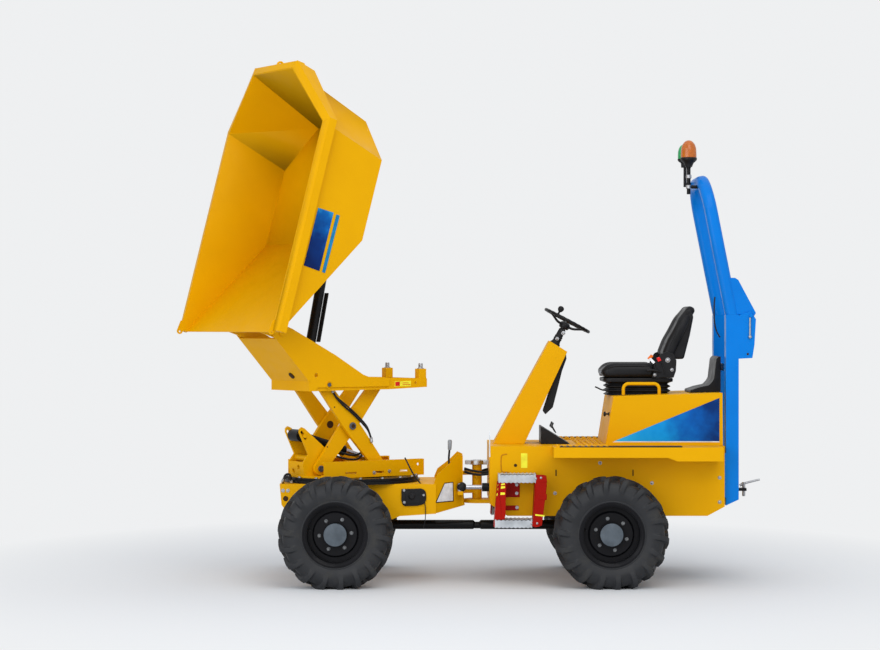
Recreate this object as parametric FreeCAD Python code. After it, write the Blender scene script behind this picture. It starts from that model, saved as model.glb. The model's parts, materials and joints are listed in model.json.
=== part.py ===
import FreeCAD
import Part
import math
import os

os.makedirs("parts", exist_ok=True)

V = FreeCAD.Vector

# Frame: front axle over X = 0, centre plane Y = 0, ground Z = 0, front toward -X
CENTRE_X = 851.9
CENTRE_Y = -161.2

# Wheels and axles
WHEELBASE = 1820.0
TRACK = 1320.0
TYRE_RADIUS = 381.0
TYRE_WIDTH = 264.0
RIM_SEAT_RADIUS = 194.0
RIM_FLANGE_RADIUS = 216.0
RIM_WALL = 8.0
RIM_HALF_WIDTH = 112.0
RIM_DISC_PLANE = 20.0
HUB_CAP_RADIUS = 80.0
HUB_CAP_PROUD = 62.0
HUB_BORE_RADIUS = 45.0
AXLE_TUBE_RADIUS = 52.0
AXLE_HOUSING_RADIUS = 120.0
RUNNING_FIT = 0.05
BODY_GAP = 0.3

# Articulation between the two chassis
PIVOT_X = 945.0
PIVOT_PIN_RADIUS = 30.0
PIVOT_HUB_RADIUS = 52.0
PIVOT_LOW_PLATE_Z = 540.0
PIVOT_LOW_PLATE_T = 26.0
PIVOT_TOP_BAR_Z = 802.0
PIVOT_TOP_BAR_T = 29.0
PROP_Z = 399.0
PROP_RADIUS = 32.0

# Steering cylinder
STEER_Y = -215.0
STEER_Z = 659.0
STEER_EYE_X = 828.0
STEER_BASE_X = 1330.0
STEER_GLAND_X = 976.0
STEER_BARREL_RADIUS = 29.0
STEER_ROD_RADIUS = 15.0
STEER_ROD_LENGTH = 325.0

# Front chassis
FRONT_HALF_WIDTH = 360.0
FRONT_PLATE = 10.0
FRONT_TOP_Z = 690.0
FRONT_TAPER_X = 650.0
FRONT_REAR_X = 859.0
FRONT_REAR_HALF = 130.0

# Rear chassis
REAR_HALF_WIDTH = 440.0
REAR_PLATE = 8.0
REAR_FRONT_X = 1023.0
REAR_END_X = 2599.0
REAR_TOP_Z = 949.0
REAR_BOTTOM_Z = 482.0
BOARD_HALF_WIDTH = 700.0
BOARD_FRONT_X = 1441.0
BOARD_REAR_X = 2561.0
BOARD_TOP_Z = 954.0
BOARD_SKIRT_Z = 885.0

# Slew ring and its turned works, swung toward the machine's left at rest
SLEW_X = 80.0
SLEW_ANGLE = 34.0
RING_RADIUS = 470.0
RING_BORE = 330.0
RING_BOTTOM_Z = FRONT_TOP_Z
RING_SPLIT_Z = 709.0
RING_TOP_Z = 728.0

# Lower scissor frame, lengths measured rearward from the slew axis
RAIL_OUTER = 240.0
RAIL_DEPTH = 40.0
RAIL_WALL = 8.0
LOW_RAIL_FRONT = -240.0
LOW_RAIL_REAR = 440.0
LOW_RAIL_Z = 742.0
LOW_RAIL_HEIGHT = 96.0

# Scissor
PIN_FRONT = -335.0
PIN_CROSS = -105.0
PIN_LOW_Z = LOW_RAIL_Z + LOW_RAIL_HEIGHT / 2
PIN_HIGH_Z = 1360.0
ARM_WIDTH = 108.0
ARM_A_IN = 150.0
ARM_B_IN = 112.0
ARM_PLATE = 28.0
ARM_PIN_RADIUS = 20.0
ROLLER_LOW_RADIUS = LOW_RAIL_HEIGHT / 2 - RAIL_WALL - 2.0

# Upper frame
UP_RAIL_HEIGHT = 84.0
UP_RAIL_Z = PIN_HIGH_Z - UP_RAIL_HEIGHT / 2
UP_RAIL_REAR = 465.0
ROLLER_HIGH_RADIUS = UP_RAIL_HEIGHT / 2 - RAIL_WALL - 2.0
GUSSET_PLATE = 12.0

# Skip, measured rearward and upward from the top of its lip in the level position
TIP_ANGLE = 74.0
HINGE_U = -700.0
HINGE_Z = 1707.0
HINGE_BACK = 58.5
HINGE_DOWN = 284.0
SKIP_HALF = 636.0
SKIP_WALL = 6.0
SKIP_DEPTH = 489.0
SKIP_LIP_DEPTH = 51.0
RAMP_FOOT = 754.0
FLOOR_SIDE_END = 1310.0
FLOOR_REAR = 1606.0
FLOOR_REAR_HALF = 308.0
RIM_SIDE_END = 1417.0
RIM_SIDE_Z = 15.0
RIM_REAR = 1779.0
RIM_REAR_HALF = 263.0
RIM_REAR_Z = 133.0
RIM_OUT = 52.0
RIM_DROP = 17.0
RIM_DEPTH = 55.0

# Lift and tip cylinders
LIFT_BASE_U = -435.0
LIFT_BASE_Z = 1013.0
LIFT_EYE_RISE = 50.0
TIP_BASE_U = -351.0
TIP_BASE_Z = 1528.0
TIP_EYE_BACK = 1048.5
TIP_EYE_DOWN = 584.0
TIP_CROSS_U = -420.0
TIP_CROSS_Z = 1562.0
LIFT_ROD_LENGTH = 545.0
TIP_ROD_LENGTH = 610.0
LIFT_PIN_RADIUS = 14.0
TIP_PIN_RADIUS = 15.0
STEER_PIN_RADIUS = 12.0
STEER_EAR_Y = 236.0

# Roll-over hoop
ROPS_HALF = 352.0
ROPS_TUBE = 86.0
ROPS_X = 2613.0
ROPS_LOW_Z = 548.0
ROPS_SEAM_Z = 1831.0
ROPS_HINGE_X = 2780.0


def box(x0, x1, y0, y1, z0, z1):
    return Part.makeBox(x1 - x0, y1 - y0, z1 - z0, V(x0, y0, z0))


def profile_y(points, y0, y1):
    """Prism of an X-Z outline between two Y planes."""
    loop = [V(x, y0, z) for x, z in points]
    face = Part.Face(Part.makePolygon(loop + loop[:1]))
    return face.extrude(V(0, y1 - y0, 0))


def profile_z(points, z0, z1):
    """Prism of an X-Y outline between two heights."""
    loop = [V(x, y, z0) for x, y in points]
    face = Part.Face(Part.makePolygon(loop + loop[:1]))
    return face.extrude(V(0, 0, z1 - z0))


def rod(start, end, radius):
    a = V(*start)
    d = V(*end) - a
    return Part.makeCylinder(radius, d.Length, a, d)


def pin_y(x, z, y0, y1, radius):
    return rod((x, y0, z), (x, y1, z), radius)


def ring_solid(radius, bore, z0, z1, x=0.0, y=0.0):
    outer = rod((x, y, z0), (x, y, z1), radius)
    return outer.cut(rod((x, y, z0 - 1), (x, y, z1 + 1), bore))


def revolve_y(points, x, y, z):
    """Turned part about a lateral axis, from (radius, offset along Y) points."""
    loop = [V(x, y + o, z + r) for r, o in points]
    face = Part.Face(Part.makePolygon(loop + loop[:1]))
    return face.revolve(V(x, y, z), V(0, 1, 0), 360)


def both_sides(shape):
    return [shape, shape.mirror(V(0, 0, 0), V(0, 1, 0))]


def join(shapes):
    result = shapes[0]
    for shape in shapes[1:]:
        result = result.fuse(shape)
    return result.removeSplitter()


def slewed(shape):
    """Place a shape drawn about the slew axis (u rearward, v sideways)."""
    s = shape.copy()
    s.rotate(V(0, 0, 0), V(0, 0, 1), SLEW_ANGLE)
    s.translate(V(SLEW_X, 0, 0))
    return s


def tipped(shape):
    """Tip a shape drawn in the level skip's place about the skip hinge."""
    s = shape.copy()
    s.rotate(V(HINGE_U, 0, HINGE_Z), V(0, 1, 0), -TIP_ANGLE)
    return s


def arm_outline(start, end, width):
    """Straight bar of the given width with rounded ends, as a face loop in X-Z."""
    a = V(start[0], 0, start[1])
    b = V(end[0], 0, end[1])
    d = (b - a).normalize()
    n = V(-d.z, 0, d.x) * (width / 2)
    p1 = a + n
    p2 = b + n
    p3 = b - n
    p4 = a - n
    cap_b = Part.Arc(p2, b + d * (width / 2), p3).toShape()
    cap_a = Part.Arc(p4, a - d * (width / 2), p1).toShape()
    side_1 = Part.LineSegment(p1, p2).toShape()
    side_2 = Part.LineSegment(p3, p4).toShape()
    return Part.Face(Part.Wire([side_1, cap_b, side_2, cap_a]))


def arm_bar(start, end, width, y0, y1):
    face = arm_outline(start, end, width)
    face.translate(V(0, y0, 0))
    return face.extrude(V(0, y1 - y0, 0))


nodes = {}


# Wheels
def turned(rows, x, y, z, side):
    points = [(r, o * side) for r, o in rows]
    return revolve_y(points, x, y, z)


def rim_solid(x, side):
    w = RIM_HALF_WIDTH
    t = RIM_WALL
    seat = RIM_SEAT_RADIUS
    flange = RIM_FLANGE_RADIUS
    d = RIM_DISC_PLANE
    rows = [
        (0.0, d + 30),
        (0.0, d + HUB_CAP_PROUD),
        (HUB_CAP_RADIUS - 12, d + HUB_CAP_PROUD),
        (HUB_CAP_RADIUS, d + HUB_CAP_PROUD - 10),
        (HUB_CAP_RADIUS, d + 14),
        (142.0, d + 14),
        (152.0, d - 4),
        (seat - t, d - 4),
        (seat - t, w - 20),
        (flange - t, w - 8),
        (flange - t, w),
        (flange, w),
        (flange, w - 8),
        (seat, w - 20),
        (seat, -w + 20),
        (flange, -w + 8),
        (flange, -w),
        (flange - t, -w),
        (flange - t, -w + 8),
        (seat - t, -w + 20),
        (seat - t, d - 16),
        (140.0, d - 16),
        (130.0, d),
        (HUB_BORE_RADIUS + 20, d),
        (HUB_BORE_RADIUS + 20, d - 30),
        (HUB_BORE_RADIUS + RUNNING_FIT, d - 30),
        (HUB_BORE_RADIUS + RUNNING_FIT, d + 30),
    ]
    return turned(rows, x, side * TRACK / 2, TYRE_RADIUS, side)


def tyre_solid(x, side):
    w = RIM_HALF_WIDTH
    half = TYRE_WIDTH / 2
    rows = [
        (RIM_SEAT_RADIUS, -w + 20),
        (RIM_FLANGE_RADIUS, -w + 8),
        (RIM_FLANGE_RADIUS, -w - 4),
        (285.0, -half + 3),
        (330.0, -half),
        (366.0, -half + 16),
        (TYRE_RADIUS, -half + 44),
        (TYRE_RADIUS, half - 44),
        (366.0, half - 16),
        (330.0, half),
        (285.0, half - 3),
        (RIM_FLANGE_RADIUS, w + 4),
        (RIM_FLANGE_RADIUS, w - 8),
        (RIM_SEAT_RADIUS, w - 20),
    ]
    return turned(rows, x, side * TRACK / 2, TYRE_RADIUS, side)


def axle_solid(x):
    """Beam axle with a turned centre housing and a spindle in each wheel."""
    z = TYRE_RADIUS
    reach = TRACK / 2 + RIM_DISC_PLANE + 29.0
    flange_y = TRACK / 2 + RIM_DISC_PLANE - 30.0 - BODY_GAP
    rows = [
        (0.0, -reach),
        (HUB_BORE_RADIUS, -reach),
        (HUB_BORE_RADIUS, -flange_y),
        (70.0, -flange_y),
        (78.0, -flange_y + 40),
        (AXLE_TUBE_RADIUS, -flange_y + 70),
        (AXLE_TUBE_RADIUS, -170.0),
        (AXLE_HOUSING_RADIUS, -70.0),
        (AXLE_HOUSING_RADIUS, 70.0),
        (AXLE_TUBE_RADIUS, 170.0),
        (AXLE_TUBE_RADIUS, flange_y - 70),
        (78.0, flange_y - 40),
        (70.0, flange_y),
        (HUB_BORE_RADIUS, flange_y),
        (HUB_BORE_RADIUS, reach),
        (0.0, reach),
    ]
    return revolve_y(rows, x, 0, z)


for axle_name, axle_x in (("front", 0.0), ("rear", WHEELBASE)):
    nodes[axle_name + "_axle"] = axle_solid(axle_x)
    for side_name, side in (("left", -1), ("right", 1)):
        nodes["tyre_" + axle_name + "_" + side_name] = tyre_solid(axle_x, side)
        nodes["rim_" + axle_name + "_" + side_name] = rim_solid(axle_x, side)


# Front chassis: two side plates, tapering in to the pivot, with a top plate
FRONT_SIDE = [
    # x, z of the straight part of a side plate
    (-408.0, 549.0),
    (-408.0, 680.0),
    (FRONT_TAPER_X, 680.0),
    (FRONT_TAPER_X, 489.0),
    (419.0, 474.0),
    (371.0, 453.0),
    (-300.0, 453.0),
]
FRONT_TAIL = [
    # x, z of the tapered tail, raised toward the pivot
    (FRONT_TAPER_X, 489.0),
    (FRONT_TAPER_X, 700.0),
    (672.0, 754.0),
    (726.0, 820.0),
    (822.0, 892.0),
    (846.0, 868.0),
    (840.0, 730.0),
    (FRONT_REAR_X, 531.0),
]


def front_frame():
    half = FRONT_HALF_WIDTH
    t = FRONT_PLATE
    axle_notch = rod((0, -half - 5, TYRE_RADIUS), (0, half + 5, TYRE_RADIUS), AXLE_TUBE_RADIUS + 14)
    sides = []
    for plate in both_sides(profile_y(FRONT_SIDE, -half, -half + t)):
        sides.append(plate.cut(axle_notch))
    slope = math.atan2(half - FRONT_REAR_HALF, FRONT_REAR_X - FRONT_TAPER_X)
    outline = [
        (FRONT_TAPER_X, -half),
        (FRONT_REAR_X, -FRONT_REAR_HALF),
        (FRONT_REAR_X, -FRONT_REAR_HALF + t / math.cos(slope)),
        (FRONT_TAPER_X, -half + t / math.cos(slope)),
    ]
    band = profile_z(outline, 400, 950)
    tail = profile_y(FRONT_TAIL, -half - 5, 0).common(band)
    top = box(-408, FRONT_TAPER_X, -half, half, 680, FRONT_TOP_Z)
    nose = box(-408, -396, -half, half, 549, 680)
    back = box(FRONT_TAPER_X, FRONT_TAPER_X + 12, -half, half, 489, 690)
    tail_plate = box(FRONT_REAR_X - 25, FRONT_REAR_X - 13, -150, 150, 531, 860)
    low = PIVOT_LOW_PLATE_Z + PIVOT_LOW_PLATE_T + BODY_GAP
    high = PIVOT_TOP_BAR_Z - BODY_GAP
    hub = rod((PIVOT_X, 0, low), (PIVOT_X, 0, high), PIVOT_HUB_RADIUS)
    webs = []
    for z in (low + 40, high - 70):
        webs.append(box(FRONT_REAR_X - 25, PIVOT_X, -45, 45, z, z + 25))
    axle_seats = []
    for y in (-250, 170):
        seat = box(-60, 60, y, y + 80, TYRE_RADIUS, 680)
        axle_seats.append(seat.cut(rod((0, -half, TYRE_RADIUS), (0, half, TYRE_RADIUS), AXLE_TUBE_RADIUS)))
    cross = box(-60, 60, -half + t, half - t, 560, 680).cut(
        rod((0, -half, TYRE_RADIUS), (0, half, TYRE_RADIUS), AXLE_HOUSING_RADIUS + 10))
    body = join(sides + both_sides(tail) + [top, nose, back, tail_plate, hub] + webs + axle_seats + [cross])
    bore = rod((PIVOT_X, 0, low - 1), (PIVOT_X, 0, high + 1), PIVOT_PIN_RADIUS + RUNNING_FIT)
    ear = box(STEER_EYE_X - 18, STEER_EYE_X + 18, -STEER_EAR_Y, -150, STEER_Z - 52, STEER_Z - 27)
    body = body.fuse(ear).cut(bore)
    return body.removeSplitter()


nodes["front_frame"] = front_frame()
nodes["slew_ring_lower"] = ring_solid(RING_RADIUS, RING_BORE, RING_BOTTOM_Z, RING_SPLIT_Z, SLEW_X)


# Propeller shaft, split at the universal joint under the pivot
def prop_half(x, side):
    """Shaft from an axle housing to its yoke beside the pivot."""
    yoke = PIVOT_X - side * 26
    shaft = rod((x, 0, PROP_Z), (yoke, 0, PROP_Z), PROP_RADIUS)
    neck = Part.makeCone(PROP_RADIUS, 12, 19, V(yoke, 0, PROP_Z), V(side, 0, 0))
    return join([shaft, neck])


nodes["propshaft_front"] = prop_half(AXLE_HOUSING_RADIUS, 1)
nodes["propshaft_rear"] = prop_half(WHEELBASE - AXLE_HOUSING_RADIUS, -1)


# Rear chassis: side plates, bulkheads and floor
def rear_frame():
    half = REAR_HALF_WIDTH
    t = REAR_PLATE
    side = [
        (REAR_FRONT_X, REAR_TOP_Z - t),
        (REAR_FRONT_X, 563.0),
        (1142.0, REAR_BOTTOM_Z),
        (2483.0, REAR_BOTTOM_Z),
        (REAR_END_X, 544.0),
        (REAR_END_X, REAR_TOP_Z - t),
    ]
    sides = both_sides(profile_y(side, -half, -half + t))
    floor = box(REAR_FRONT_X, REAR_END_X, -half, half, REAR_TOP_Z - t, REAR_TOP_Z)
    front = box(REAR_FRONT_X, REAR_FRONT_X + 16, -half, half, 563, REAR_TOP_Z - t)
    rear = box(REAR_END_X - 12, REAR_END_X, -half, half, 544, REAR_TOP_Z - t)
    low = box(PIVOT_X, REAR_FRONT_X + 16, -90, 90, PIVOT_LOW_PLATE_Z, PIVOT_LOW_PLATE_Z + PIVOT_LOW_PLATE_T)
    low_nose = ring_solid(90, 1, PIVOT_LOW_PLATE_Z, PIVOT_LOW_PLATE_Z + PIVOT_LOW_PLATE_T, PIVOT_X)
    seats = []
    for y in (-250, 170):
        seat = box(WHEELBASE - 60, WHEELBASE + 60, y, y + 80, TYRE_RADIUS, 600)
        seats.append(seat.cut(rod((WHEELBASE, -half, TYRE_RADIUS), (WHEELBASE, half, TYRE_RADIUS),
                                  AXLE_TUBE_RADIUS)))
    cross = box(WHEELBASE - 60, WHEELBASE + 60, -half + t, half - t, 560, 600)
    base = box(STEER_BASE_X - 30, STEER_BASE_X + 30, STEER_Y - 60, STEER_Y + 60, STEER_Z - 60, STEER_Z - 32)
    base_post = box(STEER_BASE_X + 10, STEER_BASE_X + 30, -half + t, STEER_Y + 60, STEER_Z - 60, STEER_Z - 32)
    base_pin = rod((STEER_BASE_X, STEER_Y, STEER_Z - 60), (STEER_BASE_X, STEER_Y, STEER_Z + 40), STEER_PIN_RADIUS)
    body = join(sides + [floor, front, rear, low, low_nose] + seats + [cross, base, base_post, base_pin])
    window = box(REAR_FRONT_X - 5, REAR_FRONT_X + 21, STEER_Y - 90, STEER_Y + 90, STEER_Z - 62, STEER_Z + 62)
    return body.cut(window).removeSplitter()


nodes["rear_frame"] = rear_frame()


def pivot_pin():
    return join([
        rod((PIVOT_X, 0, PIVOT_LOW_PLATE_Z + PIVOT_LOW_PLATE_T), (PIVOT_X, 0, 850), PIVOT_PIN_RADIUS),
        rod((PIVOT_X, 0, PIVOT_TOP_BAR_Z), (PIVOT_X, 0, PIVOT_TOP_BAR_Z + PIVOT_TOP_BAR_T), 58),
        box(PIVOT_X, REAR_FRONT_X, -40, 40, PIVOT_TOP_BAR_Z, PIVOT_TOP_BAR_Z + PIVOT_TOP_BAR_T),
    ])


nodes["pivot_link"] = pivot_pin()


def running_board():
    """Folded plate over a rear wheel with its skirt, on the left."""
    inner = -REAR_HALF_WIDTH
    outer = -BOARD_HALF_WIDTH
    top = box(BOARD_FRONT_X, BOARD_REAR_X, outer, inner, BOARD_TOP_Z - 5, BOARD_TOP_Z)
    skirt = box(BOARD_FRONT_X, BOARD_REAR_X, outer, outer + 5, BOARD_SKIRT_Z, BOARD_TOP_Z)
    front = box(BOARD_FRONT_X, BOARD_FRONT_X + 5, outer, inner, BOARD_SKIRT_Z, BOARD_TOP_Z)
    back = box(BOARD_REAR_X - 5, BOARD_REAR_X, outer, inner, BOARD_SKIRT_Z, BOARD_TOP_Z)
    return join([top, skirt, front, back])


for side_name, board in zip(("left", "right"), both_sides(running_board())):
    nodes["running_board_" + side_name] = board


# Seat box, engine and seat
SEAT_BOX = [
    # x, z
    (1802.0, REAR_TOP_Z),
    (1855.0, 1282.0),
    (2590.0, 1306.0),
    (2593.0, REAR_TOP_Z),
]
SEAT_BOX_HALF = 400.0


def seat_box():
    t = 5.0
    outer = profile_y(SEAT_BOX, -SEAT_BOX_HALF, SEAT_BOX_HALF)
    inside = [(1802.0 + t, REAR_TOP_Z - 1), (1855.0 + t, 1282.0 - t), (2590.0 - t, 1306.0 - t),
              (2593.0 - t, REAR_TOP_Z - 1)]
    return outer.cut(profile_y(inside, -SEAT_BOX_HALF + t, SEAT_BOX_HALF - t))


nodes["seat_box"] = seat_box()
nodes["engine_block"] = box(1990, 2560, -230, 230, 520, REAR_TOP_Z - REAR_PLATE)
nodes["seat_base"] = profile_y([(1858, 1270), (1858, 1396), (2130, 1396), (2130, 1270)], -190, 190).cut(
    profile_y(SEAT_BOX, -SEAT_BOX_HALF, SEAT_BOX_HALF))
SEAT_Z = 1396.0 + BODY_GAP
SEAT_REAR_X = 2160.0
nodes["seat_cushion"] = profile_y([(1756, SEAT_Z), (1756, 1470), (2100, 1480), (SEAT_REAR_X, 1450),
                                   (SEAT_REAR_X, SEAT_Z)], -235, 235)
nodes["seat_back"] = profile_y([(SEAT_REAR_X + BODY_GAP, 1400), (SEAT_REAR_X + BODY_GAP, 1480), (2191, 1586),
                                (2330, 1890), (2360, 1905), (2422, 1845), (2354, 1531), (2290, 1400)], -230, 230)


# Steering post and wheel
POST = [
    (1054.0, REAR_TOP_Z),
    (1440.0, 1654.0),
    (1562.0, 1579.0),
    (1268.0, REAR_TOP_Z),
]
POST_HALF = 110.0


def post_solid():
    outer = profile_y(POST, -POST_HALF, POST_HALF)
    inside = profile_y([(1060, REAR_TOP_Z - 1), (1443, 1647), (1600, 1562), (1310, REAR_TOP_Z - 1)],
                       -POST_HALF + 5, POST_HALF - 5)
    return outer.cut(inside)


WHEEL_CENTRE = (1567.0, 0.0, 1792.0)
WHEEL_AXIS = (0.469, 0.0, 0.884)
nodes["steering_post"] = post_solid()


def along(point, axis, distance):
    return (point[0] + axis[0] * distance, point[1] + axis[1] * distance, point[2] + axis[2] * distance)


column = rod(along(WHEEL_CENTRE, WHEEL_AXIS, -215), along(WHEEL_CENTRE, WHEEL_AXIS, -62), 20)
nodes["steering_column"] = column.cut(profile_y(POST, -POST_HALF, POST_HALF))


def steering_wheel():
    c = V(*WHEEL_CENTRE)
    axis = V(*WHEEL_AXIS)
    rim = Part.makeTorus(165, 14, c, axis)
    hub = rod(along(WHEEL_CENTRE, WHEEL_AXIS, -61.7), along(WHEEL_CENTRE, WHEEL_AXIS, -20), 38)
    spokes = []
    side = axis.cross(V(0, 1, 0))
    for angle in (90, 210, 330):
        a = math.radians(angle)
        d = side * math.cos(a) + V(0, 1, 0) * math.sin(a)
        start = c + axis * (-40)
        end = c + d * 165
        spokes.append(rod(tuple(start), tuple(end), 9))
    return join([rim, hub] + spokes)


nodes["steering_wheel"] = steering_wheel()


# Roll-over hoop, lower posts and folding top
def rops_lower():
    y = -ROPS_HALF
    h = ROPS_TUBE / 2
    post = profile_y([(ROPS_X, ROPS_LOW_Z), (ROPS_X + ROPS_TUBE, ROPS_LOW_Z + 40), (ROPS_X + ROPS_TUBE, ROPS_SEAM_Z),
                      (ROPS_X, ROPS_SEAM_Z)], y - h, y + h)
    ear = [(ROPS_X + ROPS_TUBE, 1535), (2791, 1540), (2805, 1630), (2815, ROPS_SEAM_Z - 30),
           (2780, ROPS_SEAM_Z + 25), (ROPS_X + ROPS_TUBE, ROPS_SEAM_Z - 5)]
    plates = [profile_y(ear, y - h, y - h + 10), profile_y(ear, y + h - 10, y + h)]
    foot = box(REAR_END_X, ROPS_X, y - h, y + h, 600, 900)
    left = join([post] + plates + [foot])
    pin = pin_y(ROPS_HINGE_X, ROPS_SEAM_Z - 5, y - h - 12, y + h + 12, 12)
    left = left.fuse(pin)
    pair = both_sides(left)
    bar = box(ROPS_X + 10, ROPS_X + 60, -ROPS_HALF + h, ROPS_HALF - h, 1450, 1500)
    return join(pair + [bar])


nodes["rops_lower"] = rops_lower()

HOOP = [
    # x, z of the centre line above the seam
    (ROPS_X + ROPS_TUBE / 2, ROPS_SEAM_Z),
    (2640.0, 1960.0),
    (2600.0, 2150.0),
    (2560.0, 2400.0),
    (2510.0, 2620.0),
    (2470.0, 2726.0),
]


def rops_upper():
    y = -ROPS_HALF
    h = ROPS_TUBE / 2
    front = [(x - h, z + BODY_GAP) for x, z in HOOP]
    back = [(x + h, z + BODY_GAP) for x, z in HOOP]
    post = profile_y(front + back[::-1], y - h, y + h)
    ear = [(ROPS_X + ROPS_TUBE - 1, ROPS_SEAM_Z + BODY_GAP), (ROPS_X + ROPS_TUBE + 6, ROPS_SEAM_Z + BODY_GAP),
           (2762, ROPS_SEAM_Z - 25), (2798, ROPS_SEAM_Z - 20),
           (2800, ROPS_SEAM_Z + 10), (2705, 2072), (2660, 2076), (2662, 2000)]
    plate = profile_y(ear, y - h + 10.3, y + h - 10.3)
    hole = pin_y(ROPS_HINGE_X, ROPS_SEAM_Z - 5, y - 80, y + 80, 12 + RUNNING_FIT)
    left = post.fuse(plate).cut(hole)
    bar = box(2470 - h, 2470 + h, -ROPS_HALF, ROPS_HALF, 2726 - h, 2726 + h)
    return join(both_sides(left) + [bar])


nodes["rops_upper"] = rops_upper()


# Steps on each side of the rear chassis
def steps():
    y1 = -REAR_HALF_WIDTH
    plates = [box(1071, 1077, -600, y1, 421, 716), box(1330, 1336, -600, y1, 438, 763)]
    treads = [box(1077, 1330, -600, y1, 717 - 25, 717), box(1077, 1330, -600, y1, 440, 465)]
    return join(plates + treads)


for side_name, step in zip(("left", "right"), both_sides(steps())):
    nodes["steps_" + side_name] = step


# Lower scissor frame
def channel(u0, u1, z0, height):
    """Rail open toward the centre, on the left."""
    outer = box(u0, u1, -RAIL_OUTER, -RAIL_OUTER + RAIL_DEPTH, z0, z0 + height)
    inner = box(u0 - 1, u1 - 12, -RAIL_OUTER + RAIL_WALL, -RAIL_OUTER + RAIL_DEPTH + 1, z0 + RAIL_WALL,
                z0 + height - RAIL_WALL)
    return outer.cut(inner)


def lower_frame():
    rails = both_sides(channel(LOW_RAIL_FRONT, LOW_RAIL_REAR, LOW_RAIL_Z, LOW_RAIL_HEIGHT))
    base = box(-380, LOW_RAIL_REAR, -RAIL_OUTER, RAIL_OUTER, RING_TOP_Z, LOW_RAIL_Z)
    nose = profile_y([(-590, 776), (-590, 880), (-500, 880), (-490, 826), (LOW_RAIL_FRONT + 10, 826),
                      (LOW_RAIL_FRONT + 10, LOW_RAIL_Z), (-460, LOW_RAIL_Z), (-525, 770)], -200, -185)
    ear = profile_y([(-455, LOW_RAIL_Z), (-452, 1020), (-440, 1050), (-415, 1050), (-400, 1020),
                     (-380, LOW_RAIL_Z)], -100, -85)
    ears = both_sides(ear) + [pin_y(LIFT_BASE_U, LIFT_BASE_Z, -108, 108, LIFT_PIN_RADIUS)]
    front = box(-590, -575, -186, 186, 776, 880)
    floor = profile_y([(-590, 776), (-590, 788), (-520, 784), (-455, 757), (-375, 742), (-375, RING_TOP_Z),
                       (-420, RING_TOP_Z), (-460, LOW_RAIL_Z), (-525, 770)], -200, 200)
    pins = both_sides(pin_y(PIN_FRONT, PIN_LOW_Z, -185, -ARM_B_IN + 2, ARM_PIN_RADIUS))
    return join(rails + [base, floor, front] + both_sides(nose) + ears + pins)


nodes["slew_ring_upper"] = slewed(ring_solid(RING_RADIUS - 12, RING_BORE, RING_SPLIT_Z + BODY_GAP, RING_TOP_Z))
nodes["lower_frame"] = slewed(lower_frame())


# Scissor arms: pair B on the lower pins, pair A on the cross pins
def arm_b():
    rise = PIN_HIGH_Z - PIN_LOW_Z
    top_u = 2 * PIN_CROSS - PIN_FRONT
    cross_z = (PIN_LOW_Z + PIN_HIGH_Z) / 2
    bar = arm_bar((PIN_FRONT, PIN_LOW_Z), (top_u, PIN_HIGH_Z), 80, -ARM_B_IN - ARM_PLATE, -ARM_B_IN)
    bars = both_sides(bar)
    tube = pin_y(top_u, PIN_HIGH_Z, -ARM_B_IN, ARM_B_IN, 17)
    rollers = both_sides(pin_y(top_u, PIN_HIGH_Z, -RAIL_OUTER + RAIL_WALL + 2, -ARM_B_IN - ARM_PLATE,
                               ROLLER_HIGH_RADIUS))
    low_bore = pin_y(PIN_FRONT, PIN_LOW_Z, -300, 300, ARM_PIN_RADIUS + RUNNING_FIT)
    cross_pins = both_sides(pin_y(PIN_CROSS, cross_z, -ARM_A_IN - ARM_PLATE - 6, -ARM_B_IN, ARM_PIN_RADIUS))
    body = join(bars + [tube] + rollers)
    return join([body.cut(low_bore)] + cross_pins)


def arm_a():
    low_u = 2 * PIN_CROSS - PIN_FRONT
    cross_z = (PIN_LOW_Z + PIN_HIGH_Z) / 2
    bar = arm_bar((low_u, PIN_LOW_Z), (PIN_FRONT, PIN_HIGH_Z), 80, -ARM_A_IN - ARM_PLATE, -ARM_A_IN)
    bars = both_sides(bar)
    tube = pin_y(low_u, PIN_LOW_Z, -ARM_A_IN, ARM_A_IN, 24)
    rollers = both_sides(pin_y(low_u, PIN_LOW_Z, -RAIL_OUTER + RAIL_WALL + 2, -ARM_A_IN - ARM_PLATE,
                               ROLLER_LOW_RADIUS))
    lug = profile_y([(low_u - 30, PIN_LOW_Z), (low_u + 30, PIN_LOW_Z), (low_u + 18, PIN_LOW_Z + LIFT_EYE_RISE + 18),
                     (low_u - 18, PIN_LOW_Z + LIFT_EYE_RISE + 18)], -44, -32)
    body = join(bars + [tube] + rollers + both_sides(lug))
    body = body.cut(pin_y(PIN_CROSS, cross_z, -300, 300, ARM_PIN_RADIUS + RUNNING_FIT))
    body = body.cut(pin_y(PIN_FRONT, PIN_HIGH_Z, -300, 300, ARM_PIN_RADIUS + RUNNING_FIT))
    return body


nodes["scissor_arm_b"] = slewed(arm_b())
nodes["scissor_arm_a"] = slewed(arm_a())


# Upper frame with the skip hinge at its front
GUSSET = [
    (-475.0, UP_RAIL_Z),
    (-475.0, 1367.0),
    (-764.0, 1692.0),
    (-745.0, 1735.0),
    (-690.0, 1765.0),
    (-620.0, 1738.0),
    (-81.0, 1452.0),
    (47.0, 1404.0),
    (153.0, UP_RAIL_Z + UP_RAIL_HEIGHT),
    (153.0, UP_RAIL_Z),
]


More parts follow.
